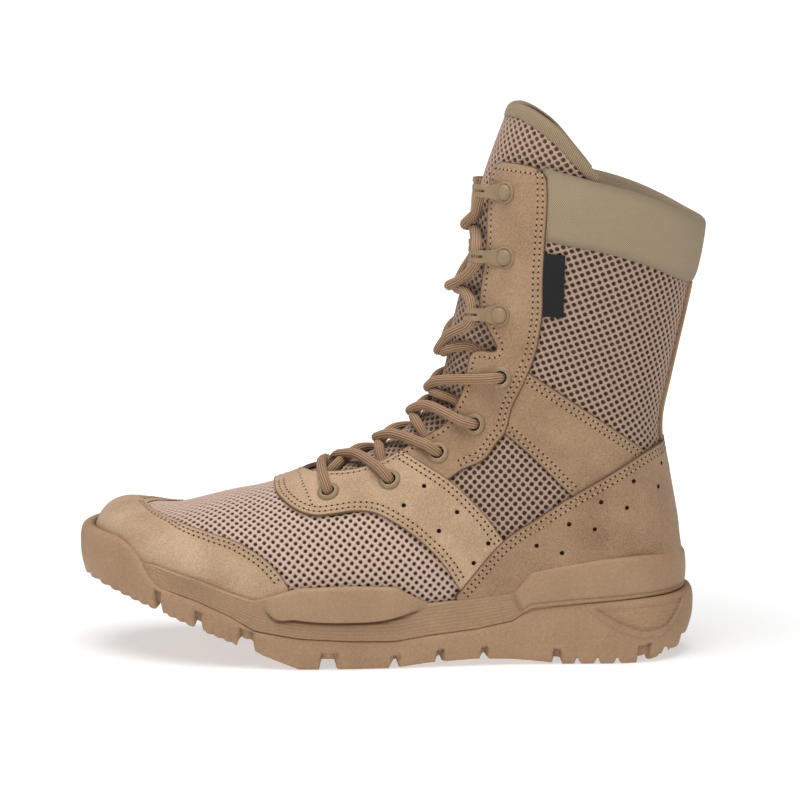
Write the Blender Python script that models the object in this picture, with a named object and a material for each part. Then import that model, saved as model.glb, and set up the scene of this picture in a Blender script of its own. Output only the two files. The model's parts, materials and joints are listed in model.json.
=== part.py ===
"""Desert combat boot, left foot. Toe towards -x, lateral side -y, ground at z = 0."""

import math

import bmesh
import bpy
import numpy as np
from mathutils import Matrix, Vector
from mathutils.bvhtree import BVHTree

MM = 0.001

# Driving sizes, mm
MIDDLE = (0.2, 1.0, 0.0)  # moves the middle of the boot's box to the origin
GAP = 0.4  # clear space between neighbouring pieces
RIM_GAP = 1.0  # clear space between the upper and the sole's rim
WALL = 2.4  # upper: knit, foam and lining together
SWELL = 1.03  # toe box width over its width at the sole
TOE_TIP = -145.0  # upper, foremost point
TOE_TURN = 65.0  # length of the rounded toe, seen from above
TOE_DOME = 23.0  # length of the rounded toe, seen from the side
DOME_POWER = 3.0
HEEL_BACK = 137.3  # upper, rearmost point at the sole
HEEL_TURN = 40.0  # length of the rounded heel, seen from above
ROUND_POWER = 2.15
OVERLAY_LIFT = 0.8  # overlays off the upper's face
ROUND_LIFT = 1.1  # the same where an overlay wraps the toe, the heel or the back
OVERLAY = 1.3  # suede overlay
CUFF_EDGE = 1.0  # thickness of the padded collar at its edges
CUFF_PAD = 2.6  # and at its fullest
THROAT_START = 3.7  # section at which the vamp opens
INSOLE_THICK = 4.0
INSOLE_PLAY = 1.3  # clear space round the insole
TONGUE_THICK = 4.0
TONGUE_PLAY = 1.4  # clear space between the tongue and the upper
SHARP = math.radians(35.0)  # edges sharper than this are shaded crisp


def table(names, rows):
    """Columns of a short table by name."""
    values = np.array(rows, dtype=float)
    return {name: values[:, k] for k, name in enumerate(names.split())}


# The last from above: middle line and half width before the ends are rounded
PLAN = table("x centre half", [
    (-145, 7.5, 47.0),
    (-120, 5.0, 46.5),
    (-100, 2.6, 46.3),
    (-80, 0.8, 46.2),
    (-60, -0.8, 47.2),
    (-40, -2.5, 46.5),
    (-20, -4.0, 44.0),
    (0, -4.8, 40.8),
    (20, -4.8, 37.8),
    (40, -4.0, 35.6),
    (60, -2.8, 34.3),
    (80, -1.5, 34.0),
    (100, -0.5, 34.0),
    (137.3, 0, 34.0),
])

# Heights along the sole: seat of the upper, rim of the midsole, parting line, lowest line of the tread
LEVELS = table("x seat rim parting ground lug", [
    (-145, 53.0, 53.0, 47.0, 41.0, 5.0),
    (-133, 50.0, 50.0, 43.5, 35.2, 5.5),
    (-122, 46.8, 46.8, 40.5, 30.2, 6.0),
    (-113, 44.2, 48.0, 38.0, 26.4, 6.0),
    (-94, 37.7, 41.2, 32.5, 18.7, 6.0),
    (-78, 32.3, 35.8, 25.5, 12.4, 6.0),
    (-66, 29.2, 33.0, 18.5, 8.0, 6.0),
    (-45, 25.8, 39.0, 15.0, 0.0, 5.0),
    (-20, 25.3, 40.0, 13.5, 0.0, 4.5),
    (0, 25.5, 39.6, 13.0, 0.0, 4.0),
    (16, 26.8, 31.0, 15.4, 2.0, 3.0),
    (40, 29.2, 33.0, 18.0, 3.2, 3.0),
    (57, 30.8, 35.0, 21.5, 2.6, 3.0),
    (66, 31.6, 45.5, 27.5, 1.8, 3.0),
    (81, 32.6, 48.5, 28.8, 0.0, 4.0),
    (100, 33.8, 51.0, 30.2, 0.0, 4.0),
    (118, 34.6, 52.0, 31.2, 0.0, 4.0),
    (129, 34.9, 52.0, 31.6, 3.5, 4.0),
    (137.3, 35.0, 50.0, 32.0, 8.0, 4.0),
])

# Sections of the upper from the toe box to the tongue top: ridge end, sole or back end, half width,
# middle line at the ridge, and roundness at the two ends
SECTIONS = table("top_x top_z low_x low_z half ridge low_round top_round", [
    (-105, 72.5, -105, 0, 44.7, 3.2, 0.62, 0.72),
    (-80, 76.8, -78, 0, 47.4, 2.4, 0.66, 0.82),
    (-57, 82.2, -46, 0, 48.4, 2.0, 0.70, 0.92),
    (-37, 90.2, -12, 0, 46.0, 1.0, 0.75, 0.97),
    (-12.5, 100.6, 27, 0, 42.0, 0.0, 0.78, 1.00),
    (4, 112.3, 69, 0, 39.6, 0.0, 0.76, 1.00),
    (16, 125.3, 112, 0, 38.2, 0.0, 0.70, 0.97),
    (21.5, 140.0, 137.3, 35, 38.0, 0.0, 0.68, 0.97),
    (24.5, 158.0, 137.3, 60, 38.2, 0.0, 0.70, 0.97),
    (28.5, 175.0, 132.5, 88, 37.6, 0.0, 0.77, 0.94),
    (33.0, 192.0, 129.0, 112, 37.8, 0.0, 0.84, 0.92),
    (37.5, 210.0, 133.5, 137, 39.6, 0.0, 0.89, 0.92),
    (41.5, 226.0, 142.0, 176, 43.2, 0.0, 0.92, 0.92),
    (46.0, 241.0, 150.0, 217, 46.6, 0.0, 0.94, 0.94),
    (59.5, 277.0, 162.5, 258, 49.5, 0.0, 0.95, 0.95),
])
ROW_AT = np.arange(1.0, 1.0 + len(SECTIONS["half"]))
HEEL_ROW = 8.0  # section whose lower end is the heel corner
COLLAR_ROW = 14.0
TONGUE_ROW = 15.0

# Half opening of the throat along the sections
THROAT = table("s half", [
    (3.7, 0.0),
    (3.85, 9.0),
    (4.15, 16.0),
    (4.5, 20.0),
    (5, 21.5),
    (6, 21.0),
    (7, 22.0),
    (8.5, 24.0),
    (10, 24.5),
    (12, 23.5),
    (15, 22.0),
])

# Top edge of the upper, seen from the side
COLLAR = table("x z", [
    (40, 242.0),
    (74, 242.0),
    (90, 237.5),
    (110, 232.5),
    (126, 227.0),
    (145, 218.0),
    (152, 215.0),
])

# Tongue half width as a turn from the ridge in degrees, and its top edge seen from the side
TONGUE_SPREAD = table("s turn", [
    (3.3, 20),
    (5, 36),
    (8, 46),
    (11, 56),
    (13, 78),
    (14.6, 92),
])
TONGUE_TOP = table("x z", [
    (57.5, 267.5),
    (66, 271.0),
    (75, 268.0),
    (86, 256.5),
    (96, 245.0),
    (103, 236.0),
])

# Edges of the overlays, seen from the side
TOE_CAP_BACK = table("x z", [
    (-120.5, 76.0),
    (-112, 71.4),
    (-100.6, 67.5),
    (-83, 62.3),
    (-71.8, 58.0),
    (-60.6, 51.7),
    (-53.3, 44.7),
    (-51, 42.0),
])
SADDLE_LOW = table("x z", [
    (-59.5, 90.0),
    (-54.3, 77.5),
    (-47, 73.4),
    (-38, 71.3),
    (-28.5, 72.2),
    (-18.7, 73.7),
    (-10, 73.4),
    (0, 69.3),
    (12.4, 61.0),
    (23, 50.5),
    (29, 41.5),
    (31, 38.5),
])
SADDLE_HIGH = table("x z", [
    (4.8, 100.6),
    (15.3, 95.2),
    (25.6, 89.3),
    (42, 74.6),
    (51.5, 62.2),
])
EYESTAY_BACK = table("x z", [
    (73.4, 241.5),
    (73.4, 226.0),
    (72.5, 207.0),
    (71.5, 188.0),
    (70.6, 164.6),
    (68.6, 152.7),
    (66.0, 144.3),
    (63.4, 137.8),
    (56.8, 122.9),
    (52.2, 109.5),
    (47.0, 102.4),
    (36, 94.6),
    (27.2, 90.2),
])
STRAP_HIGH = table("x z", [
    (66.2, 140.3),
    (82, 129.7),
    (98, 118.6),
    (112, 108.5),
    (118.6, 103.2),
])
STRAP_LOW = table("x z", [
    (54.6, 110.3),
    (62, 104.2),
    (72.3, 94.8),
    (81, 85.9),
    (84.6, 82.4),
])
STRAP_FRONT = table("x z", [(66.2, 140.3), (63.4, 134.0), (58.6, 123.0), (54.6, 110.3)])
STRAP_BACK = table("x z", [(118.6, 103.2), (111, 98.4), (103.4, 93.8), (93, 87.6), (84.6, 82.4)])
COUNTER_HIGH = table("x z", [
    (31.5, 37.0),
    (52.8, 60.8),
    (68.4, 71.4),
    (86.4, 81.3),
    (104, 91.8),
    (119, 101.0),
    (126, 103.8),
    (130.6, 104.6),
])
CUFF_LOW = table("x z", [
    (74.4, 204.0),
    (98.6, 199.3),
    (120, 192.6),
    (134, 185.6),
    (143.2, 181.0),
])
TAB_FRONT = table("x z", [(73.6, 198.6), (72.8, 184.0), (71.9, 168.2)])
TAB_BACK = table("x z", [(83.0, 197.6), (82.7, 183.0), (82.5, 167.6)])
BACKSTAY = table("z half", [(179.5, 10.0), (150, 9.0), (107, 8.0)])

# Lacing: eyelets and hooks, seen from the side, from the toe up
EYELETS = table("x z", [(-30.9, 81.2), (-1.5, 87.7), (21.6, 100.6), (39.6, 115.2), (51.9, 138.4)])
HOOKS = table("x z", [(51.4, 168.0), (54.0, 195.7), (54.6, 226.5)])
LACE_RADIUS = 2.4
LACE_PLAY = 0.5  # clear space between the lace and the tongue


def smooth(at, values, x):
    """Cubic curve through the rows of a table, flat outside them."""
    x = np.clip(np.asarray(x, dtype=float), at[0], at[-1])
    slope = np.gradient(values, at)
    k = np.clip(np.searchsorted(at, x, side="right") - 1, 0, len(at) - 2)
    width = at[k + 1] - at[k]
    f = (x - at[k]) / width
    g = 1.0 - f
    ends = values[k] * g * g * (1 + 2 * f) + values[k + 1] * f * f * (1 + 2 * g)
    return ends + width * f * g * (slope[k] * g - slope[k + 1] * f)


def straight(at, values, x):
    """Straight lines through the rows of a table."""
    return np.interp(x, at, values)


def rounded(q, power=ROUND_POWER):
    """Height of a rounded end at q from its start (0) to its tip (1)."""
    q = np.clip(q, 0.0, 1.0)
    return (1.0 - q ** power) ** (1.0 / power)


def plan_centre(x):
    return smooth(PLAN["x"], PLAN["centre"], x)


def plan_half(x):
    x = np.asarray(x, dtype=float)
    toe = rounded((TOE_TIP + TOE_TURN - x) / TOE_TURN)
    heel = rounded((x - HEEL_BACK + HEEL_TURN) / HEEL_TURN)
    return smooth(PLAN["x"], PLAN["half"], x) * toe * heel


def level(name, x):
    """A height of the sole at x, straight between rows where a step must stay crisp."""
    if name in ("rim", "parting", "ground", "lug"):
        return straight(LEVELS["x"], LEVELS[name], x)
    return smooth(LEVELS["x"], LEVELS[name], x)


def sections(s):
    """Ends, half width, middle line and roundness of the upper's sections at s."""
    s = np.asarray(s, dtype=float)
    row = np.maximum(s, 1.0)
    out = {name: smooth(ROW_AT, SECTIONS[name], row) for name in SECTIONS}
    toe = s < 1.0
    first = SECTIONS["low_x"][0]
    toe_x = TOE_TIP + (first - TOE_TIP) * (1.0 - np.cos(0.5 * math.pi * np.minimum(s, 1.0)))
    ahead = np.maximum(first - toe_x, 0.0)
    crown = SECTIONS["top_z"][0] - 0.08 * ahead + 0.0125 * ahead ** 2 - 0.00023 * ahead ** 3
    dome = rounded((TOE_TIP + TOE_DOME - toe_x) / TOE_DOME, DOME_POWER)
    toe_seat = level("seat", toe_x)
    out["top_x"] = np.where(toe, toe_x, out["top_x"])
    out["top_z"] = np.where(toe, toe_seat + (crown - toe_seat) * dome, out["top_z"])
    out["low_x"] = np.where(toe, toe_x, out["low_x"])
    out["half"] = np.where(toe, SWELL * plan_half(toe_x), out["half"])
    out["ridge"] = np.where(toe, plan_centre(toe_x), out["ridge"])
    late = (s > HEEL_ROW - 1.0) & (s <= HEEL_ROW)
    before = SECTIONS["low_x"][int(HEEL_ROW) - 2]
    swing = np.sin(0.5 * math.pi * np.clip(s - HEEL_ROW + 1.0, 0.0, 1.0))
    out["low_x"] = np.where(late, before + (HEEL_BACK - before) * swing, out["low_x"])
    out["low_z"] = np.where(s <= HEEL_ROW, level("seat", out["low_x"]), out["low_z"])
    share = np.clip(plan_half(out["low_x"]) / np.maximum(out["half"], 1e-6), 0.0, 1.0)
    start = np.arcsin(share ** (1.0 / out["low_round"]))
    out["start"] = np.where(s < HEEL_ROW, start, 0.0)
    out["sole_y"] = np.where(s < HEEL_ROW, plan_centre(out["low_x"]), 0.0)
    return out


def skin(s, turn):
    """Point of the upper's outer face: section s, turn from the ridge (lateral below zero)."""
    s, turn = np.broadcast_arrays(np.asarray(s, dtype=float), np.asarray(turn, dtype=float))
    turn = (turn + math.pi) % (2.0 * math.pi) - math.pi
    c = sections(s)
    side = np.where(turn < 0.0, -1.0, 1.0)
    angle = np.maximum(math.pi - np.abs(turn), c["start"])
    base = np.cos(c["start"])
    t = (base - np.cos(angle)) / (1.0 + base)
    power = c["low_round"] + (c["top_round"] - c["low_round"]) * t
    y = c["half"] * np.maximum(np.sin(angle), 0.0) ** power
    middle = c["sole_y"] + (c["ridge"] - c["sole_y"]) * t
    x = c["low_x"] + t * (c["top_x"] - c["low_x"])
    z = c["low_z"] + t * (c["top_z"] - c["low_z"])
    return np.stack([x, middle + side * y, z], axis=-1)


def skin_normal(s, turn, step=0.02):
    """Outward direction of the upper's outer face."""
    s, turn = np.broadcast_arrays(np.asarray(s, dtype=float), np.asarray(turn, dtype=float))
    s = np.maximum(s, 0.03)
    along = skin(s + step, turn) - skin(np.maximum(s - step, 0.005), turn)
    limit = math.pi - sections(s)["start"]
    inward = np.clip(turn, -limit + step, limit - step)
    inward = np.where(sections(s)["start"] > 0.0, inward, turn)
    across = skin(s, inward + step) - skin(s, inward - step)
    n = np.cross(along, across)
    n /= np.maximum(np.linalg.norm(n, axis=-1, keepdims=True), 1e-9)
    return np.where((s > 0.035)[..., None], n, np.array([-1.0, 0.0, 0.0]))


def shell(s, turn, out):
    """Point at a distance from the upper's outer face, outwards above zero."""
    return skin(s, turn) + np.asarray(out)[..., None] * skin_normal(s, turn)


def turn_limit(s):
    return math.pi - sections(s)["start"]


def half_to_turn(s, half):
    """Turn at which the section is a given half width from the ridge line."""
    c = sections(s)
    share = np.clip(half / np.maximum(c["half"], 1e-6), 0.0, 1.0)
    return np.arcsin(share ** (1.0 / c["top_round"]))


def collar_height(x):
    return smooth(COLLAR["x"], COLLAR["z"], x)


def on_side(x, z):
    """Section and turn of the upper's face at a point seen from the side."""
    x, z = np.asarray(x, dtype=float), np.asarray(z, dtype=float)
    low, high = np.zeros(x.shape), np.full(x.shape, TONGUE_ROW)
    for _ in range(40):
        s = 0.5 * (low + high)
        c = sections(s)
        run, rise = c["top_x"] - c["low_x"], c["top_z"] - c["low_z"]
        behind = (x - c["low_x"]) * rise - (z - c["low_z"]) * run > 0.0
        low, high = np.where(behind, s, low), np.where(behind, high, s)
    c = sections(s)
    run, rise = c["top_x"] - c["low_x"], c["top_z"] - c["low_z"]
    t = ((x - c["low_x"]) * run + (z - c["low_z"]) * rise) / (run ** 2 + rise ** 2)
    base = np.cos(c["start"])
    angle = np.arccos(np.clip(base - np.clip(t, 0.0, 1.0) * (1.0 + base), -1.0, 1.0))
    return s, math.pi - angle


def line_on_side(points, join=smooth):
    """Curve through points seen from the side: section and turn at a share of its length."""
    s, turn = on_side(points["x"], points["z"])
    steps = np.linalg.norm(np.diff(skin(s, -turn), axis=0), axis=1)
    length = np.concatenate([[0.0], np.cumsum(steps)])
    share = length / length[-1]
    return lambda a: (join(share, s, a), join(share, turn, a))


def solve_section(turn, miss, low, high):
    """Section at which miss(point) changes sign along one turn."""
    low = np.full(np.shape(turn), float(low))
    high = np.full(np.shape(turn), float(high))
    for _ in range(34):
        middle = 0.5 * (low + high)
        above = miss(skin(middle, turn)) > 0.0
        high = np.where(above, middle, high)
        low = np.where(above, low, middle)
    return 0.5 * (low + high)


def collar_section(turn):
    return solve_section(turn, lambda p: p[..., 2] - collar_height(p[..., 0]), 12.0, TONGUE_ROW)


def throat_turn(s):
    half = np.where(s < THROAT_START, 0.0, smooth(THROAT["s"], THROAT["half"], s))
    return half_to_turn(s, np.maximum(half, 0.0))


# Building closed bodies

def clear_scene():
    for thing in list(bpy.data.objects):
        bpy.data.objects.remove(thing, do_unlink=True)


def make_material(name, colour, rough, metal=0.0):
    material = bpy.data.materials.new(name)
    material.use_nodes = True
    shader = material.node_tree.nodes["Principled BSDF"]
    shader.inputs["Base Color"].default_value = (*colour, 1.0)
    shader.inputs["Roughness"].default_value = rough
    shader.inputs["Metallic"].default_value = metal
    return material


COLOURS = {
    "rubber": ((0.42, 0.28, 0.17), 0.75, 0.0),
    "foam": ((0.46, 0.31, 0.19), 0.7, 0.0),
    "knit": ((0.42, 0.29, 0.20), 0.9, 0.0),
    "suede": ((0.43, 0.28, 0.16), 0.9, 0.0),
    "twill": ((0.46, 0.37, 0.24), 0.85, 0.0),
    "board": ((0.20, 0.15, 0.10), 0.9, 0.0),
    "cord": ((0.36, 0.24, 0.14), 0.85, 0.0),
    "metal": ((0.40, 0.31, 0.19), 0.5, 0.0),
    "webbing": ((0.015, 0.014, 0.014), 0.8, 0.0),
}


def add_object(name, bm, kind):
    """One closed body from a bmesh in mm."""
    bmesh.ops.remove_doubles(bm, verts=bm.verts, dist=0.01)
    bmesh.ops.dissolve_degenerate(bm, edges=bm.edges, dist=0.005)
    bmesh.ops.recalc_face_normals(bm, faces=bm.faces)
    bmesh.ops.translate(bm, vec=MIDDLE, verts=bm.verts)
    bmesh.ops.scale(bm, vec=(MM, MM, MM), verts=bm.verts)
    mesh = bpy.data.meshes.new(name)
    bm.to_mesh(mesh)
    bm.free()
    mesh.shade_smooth()
    mesh.set_sharp_from_angle(angle=SHARP)
    thing = bpy.data.objects.new(name, mesh)
    bpy.context.scene.collection.objects.link(thing)
    thing.data.materials.append(make_material(name + "_look", *COLOURS[kind]))
    return thing


def grid_into(bm, columns, rows, place):
    """A grid on the upper: place(u, v), u and v from 0 to 1, gives the section and turn of a corner."""
    store = bm.verts.layers.float
    layers = [store.get(name) or store.new(name) for name in ("s", "turn", "u", "v")]
    made = bmesh.ops.create_grid(bm, x_segments=columns, y_segments=rows, size=1.0)["verts"]
    u = np.array([0.5 * (corner.co.x + 1.0) for corner in made])
    v = np.array([0.5 * (corner.co.y + 1.0) for corner in made])
    s, turn = place(u, v)
    for corner, point, *values in zip(made, skin(s, turn), s, turn, u, v):
        corner.co = Vector(point)
        for layer, value in zip(layers, values):
            corner[layer] = value


def thicken(bm, inner, outer):
    """Turns the grids on the upper into one closed sheet between two distances from its face."""
    layers = [bm.verts.layers.float[n] for n in ("s", "turn", "u", "v")]
    bmesh.ops.remove_doubles(bm, verts=bm.verts, dist=0.02)
    old = list(bm.verts)
    made = bmesh.ops.extrude_face_region(bm, geom=list(bm.faces), use_keep_orig=True)["geom"]
    new = [g for g in made if isinstance(g, bmesh.types.BMVert)]
    for corners, distance in ((old, inner), (new, outer)):
        s, turn, u, v = (np.array([corner[layer] for corner in corners]) for layer in layers)
        for corner, point in zip(corners, shell(s, turn, distance(u, v) + 0.0 * s)):
            corner.co = Vector(point)


def band(name, kind, place, columns, rows, inner, outer):
    """A curved sheet on the upper, closed between two distances from its face."""
    bm = bmesh.new()
    grid_into(bm, columns, rows, place)
    thicken(bm, inner, outer)
    return add_object(name, bm, kind)


def between(first, second, side=-1.0, wrap=None, start=None, end=None):
    """Corner function of a sheet between two edge lines, on one side or round the ridge or the back.

    A start or end line gives that end of the sheet its own shape."""

    def place(u, v):
        if wrap == "ridge":
            share, sign = np.abs(2.0 * u - 1.0) ** 1.3, np.where(u < 0.5, -1.0, 1.0)
        elif wrap == "back":
            share, sign = 1.0 - np.abs(2.0 * u - 1.0) ** 1.3, np.where(u < 0.5, -1.0, 1.0)
        else:
            share, sign = u, side
        spot = [a + (b - a) * v for a, b in zip(first(share), second(share))]
        for line, at in ((start, 0.0), (end, 1.0)):
            if line:
                plain = [a + (b - a) * v for a, b in zip(first(at + 0.0 * v), second(at + 0.0 * v))]
                weight = share if at else 1.0 - share
                spot = [p + weight * (w - q) for p, w, q in zip(spot, line(v), plain)]
        return spot[0], sign * spot[1]

    return place


# Upper

TURN_COUNT = 11


def upper_rows():
    """Sections of the upper's grid, closer at the toe, the heel corner and the throat start."""
    toe = np.linspace(0.0, 1.0, 6)
    foot = np.linspace(1.0, 3.5, 5)[1:]
    throat = np.array([THROAT_START, 3.85, 4.2])
    instep = np.linspace(4.7, 7.0, 4)
    heel = 7.0 + np.array([0.22, 0.45, 0.68, 0.87, 1.0])
    shaft = np.linspace(8.7, 12.0, 4)
    return np.concatenate([toe, foot, throat, instep, heel, shaft])


def upper_side(side):
    """Corner function of one half of the upper's grid, and its number of rows."""
    rows = upper_rows()
    top_rows = 2
    total = len(rows) + top_rows

    def place(u, v):
        k = np.rint(u * (total - 1)).astype(int)
        s = rows[np.minimum(k, len(rows) - 1)]
        rise = np.maximum(k - len(rows) + 1, 0) / top_rows
        start = s
        for _ in range(4):
            share = np.where(start > HEEL_ROW - 0.5, v ** 1.4, v)
            turn = turn_limit(s) + (throat_turn(s) - turn_limit(s)) * share
            s = start + (collar_section(turn) - start) * rise
        return s, side * turn

    return place, total


def build_upper():
    bm = bmesh.new()
    for side in (-1.0, 1.0):
        place, total = upper_side(side)
        grid_into(bm, total - 1, TURN_COUNT, place)
    thicken(bm, lambda u, v: -WALL, lambda u, v: 0.0)
    return add_object("upper", bm, "knit")


# Sole: rings of corners round the upper's seat line

MIDSOLE_AT = np.array([
    -145, -143.5, -139, -132, -122, -113, -104, -95, -73, -66, -46, -35, -14, -2, 3, 20, 41, 57, 66, 76, 90,
    97, 109, 116, 121, 127, 132, 135.5, 137.3,
])
LUG_ROWS = [
    (-139, -113), (-109, -95), (-90, -73), (-66, -35), (-27, -2), (3, 20), (24, 41), (46, 76),
    (81, 97), (101, 116), (121, 132),
]
OUTSOLE_AT = np.union1d(MIDSOLE_AT, np.array(LUG_ROWS).ravel())
LUG_COLUMNS = [-1.0, -0.42, -0.30, 0.30, 0.42, 1.0]  # edges of the three lugs of a row, shares of half width
FULL_WIDTH = [-1.0, 1.0]

# Side of the sole: how far the midsole and the outsole stand out from the seat line
EDGE = table("x midsole outsole bulge bumper", [
    (-145, 0.3, 7.0, 0.0, 66.5),
    (-143.5, 0.3, 7.0, 0.0, 66.0),
    (-139, 0.3, 6.8, 0.0, 64.0),
    (-132, 0.5, 6.4, 0.0, 58.0),
    (-122, 1.6, 5.9, 0.0, 51.0),
    (-113, 5.0, 5.8, 0.2, 0.0),
    (-66, 4.8, 5.6, 0.6, 0.0),
    (-45, 4.6, 5.6, 1.6, 0.0),
    (0, 4.4, 5.4, 1.6, 0.0),
    (16, 4.2, 5.2, 0.2, 0.0),
    (57, 4.0, 5.0, 0.2, 0.0),
    (66, 4.2, 5.4, 1.4, 0.0),
    (100, 4.2, 6.4, 1.6, 0.0),
    (125, 4.2, 8.4, 1.4, 0.0),
    (137.3, 4.2, 9.4, 1.2, 0.0),
])
RIBS = 3  # moulded ribs on the side of the midsole
RIB_DEPTH = 0.7


def edge(name, x):
    return straight(EDGE["x"], EDGE[name], x)


def seat_point(x, side):
    """Seat line of the upper and its outward direction, seen from above."""
    reach = 0.5 * (HEEL_BACK - TOE_TIP)
    phase = np.arccos(np.clip(1.0 - (x - TOE_TIP) / reach, -1.0, 1.0))
    step = 0.02

    def at(p):
        flip = side * np.where((p < 0.0) | (p > math.pi), -1.0, 1.0)
        ex = TOE_TIP + reach * (1.0 - np.cos(p))
        return np.array([ex, plan_centre(ex) + flip * plan_half(ex)])

    run = at(phase + step) - at(phase - step)
    run /= np.linalg.norm(run)
    return at(phase), np.array([run[1], -run[0]]) * -side


def tree_of(thing):
    """Faces of a built body, in mm, for measuring clear space."""
    corners = [corner.co / MM - Vector(MIDDLE) for corner in thing.data.vertices]
    return BVHTree.FromPolygons(corners, [tuple(face.vertices) for face in thing.data.polygons])


def clearance(tree, base, outward, z):
    """How far the upper stands out from the seat line at height z."""
    reach = 30.0
    start = Vector((*(base + reach * outward), z))
    hit = tree.ray_cast(start, Vector((*(-outward), 0.0)), 2.0 * reach)
    return reach - hit[3] if hit[3] is not None else 0.0


def side_rings(bm, stations, profile):
    """Corners of the side profile at each station, lateral and medial; the two ends share theirs."""
    rings = []
    for x in stations:
        sides = (-1.0,) if x in (stations[0], stations[-1]) else (-1.0, 1.0)
        pair = []
        for side in sides:
            base, outward = seat_point(x, side)
            corners = []
            for out, z in profile(x, base, outward):
                spot = base + out * outward
                shift = float(level("seat", spot[0]) - level("seat", x))
                corners.append(bm.verts.new((*spot, z + shift)))
            pair.append(corners)
        rings.append((pair[0], pair[-1]))
    return rings


def faces_across(bm, rings, j, shares):
    """Rows of faces across the sole at corner j of the profiles, cut at shares of its half width."""
    lines = []
    for lateral, medial in rings:
        first, last = lateral[j], medial[j]
        line = [first]
        if first is not last:
            line += [bm.verts.new(first.co.lerp(last.co, 0.5 * (share + 1.0))) for share in shares[1:-1]]
            line.append(last)
        lines.append(line)
    rows = []
    for a, b in zip(lines, lines[1:]):
        if min(len(a), len(b)) == 1:
            tip, line = (a[0], b) if len(a) == 1 else (b[0], a)
            rows.append([bm.faces.new((tip, *pair)) for pair in zip(line, line[1:])])
        else:
            quads = zip(a, b, b[1:], a[1:])
            rows.append([bm.faces.new(quad) for quad in quads])
    return rows


def ring_solid(stations, profile, shares=FULL_WIDTH):
    """A closed body from side profiles round the seat line, and the rows of faces of its underside."""
    bm = bmesh.new()
    rings = side_rings(bm, stations, profile)
    for here, there in zip(rings, rings[1:]):
        for a, b in zip(here, there):
            for quad in zip(a, b, b[1:], a[1:]):
                bm.faces.new(quad)
    faces_across(bm, rings, -1, FULL_WIDTH)
    return bm, faces_across(bm, rings, 0, shares)


def outsole_profile(tree):
    def profile(x, base, outward):
        parting = float(level("parting", x))
        low = float(level("ground", x) + level("lug", x))
        top = max(parting, float(edge("bumper", x)))
        out = float(edge("outsole", x))
        inner = float(edge("midsole", x)) + GAP
        for z in np.linspace(parting, top, 5):
            inner = max(inner, clearance(tree, base, outward, z) + RIM_GAP)
        inner = min(inner, out - 0.3)
        rise = top - low
        side = [(out - 2.6, 0.0), (out - 0.4, 0.35), (out, 0.62), (out - 0.5, 0.88)]
        corners = [(reach, low + share * rise) for reach, share in side]
        return corners + [(0.5 * (out + inner) + 0.2, top), (inner + 0.1, top - 0.02), (inner, parting)]

    return profile


def midsole_profile(tree):
    def profile(x, base, outward):
        low = float(level("parting", x)) + GAP
        seat = float(level("seat", x)) - RIM_GAP
        rim = max(float(level("rim", x)), seat)
        out = float(edge("midsole", x))
        bulge = float(edge("bulge", x))
        rib_top = low + 0.55 * (min(rim, seat + 6.0) - low)
        rib = (rib_top - low) / RIBS
        corners = [(out - 0.6, low)]
        for k in range(RIBS):
            corners += [(out, low + (k + 0.5) * rib), (out - RIB_DEPTH, low + (k + 1.0) * rib)]
        high = rim - rib_top
        corners += [(out + bulge, rib_top + 0.22 * high), (out + bulge, rib_top + 0.6 * high)]
        middle = 0.5 * (rim + seat)
        walls = [clearance(tree, base, outward, z) for z in (rim, middle, seat + 0.6)]
        inner = [min(wall + RIM_GAP, out + bulge - 0.8 - 0.1 * k) for k, wall in enumerate(walls)]
        corners += [(0.5 * (out + bulge + inner[0]) + 0.4, rim), (inner[0], rim - 0.2)]
        return corners + [(inner[1], middle), (inner[2] - 0.05, seat)]

    return profile


def build_sole(tree):
    bm, underside = ring_solid(OUTSOLE_AT, outsole_profile(tree), LUG_COLUMNS)
    lugs = []
    for x, row in zip(0.5 * (OUTSOLE_AT[1:] + OUTSOLE_AT[:-1]), underside):
        if any(low < x < high for low, high in LUG_ROWS):
            lugs += row[::2]
    made = bmesh.ops.extrude_face_region(bm, geom=lugs)["geom"]
    for corner in (g for g in made if isinstance(g, bmesh.types.BMVert)):
        corner.co.z = float(level("ground", corner.co.x))
    bmesh.ops.delete(bm, geom=[face for face in lugs if face.is_valid], context="FACES")
    add_object("outsole", bm, "rubber")
    add_object("midsole", ring_solid(MIDSOLE_AT, midsole_profile(tree))[0], "foam")


def build_insole():
    def profile(x, base, outward):
        seat = float(level("seat", x))
        return [(-WALL - INSOLE_PLAY, seat - 0.3), (-WALL - INSOLE_PLAY - 0.1, seat + INSOLE_THICK)]

    add_object("insole", ring_solid(MIDSOLE_AT, profile)[0], "board")


# Tongue and overlays

def build_tongue():
    top_s, top_turn = on_side(TONGUE_TOP["x"], TONGUE_TOP["z"])
    start = TONGUE_SPREAD["s"][0]

    def place(u, v):
        share = 2.0 * v - 1.0
        s = start + u * (COLLAR_ROW - start)
        for _ in range(6):
            turn = share * np.radians(smooth(TONGUE_SPREAD["s"], TONGUE_SPREAD["turn"], s))
            s = start + u * (np.interp(np.abs(turn), top_turn, top_s) - start)
        return s, turn

    outer = -(WALL + TONGUE_PLAY)
    return band("tongue", "knit", place, 15, 6, *sheet(outer - TONGUE_THICK, TONGUE_THICK))


def sole_line(xs, above):
    """Line just above the sole's rim and the toe bumper, as points seen from the side."""
    return {"x": xs, "z": np.maximum(level("rim", xs), edge("bumper", xs)) + above}


def throat_line(s_from, s_to):
    """The throat edge between two sections, as section and turn."""

    def line(a):
        s = s_from + (s_to - s_from) * a
        return s, throat_turn(s) + 0.004

    return line


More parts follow.
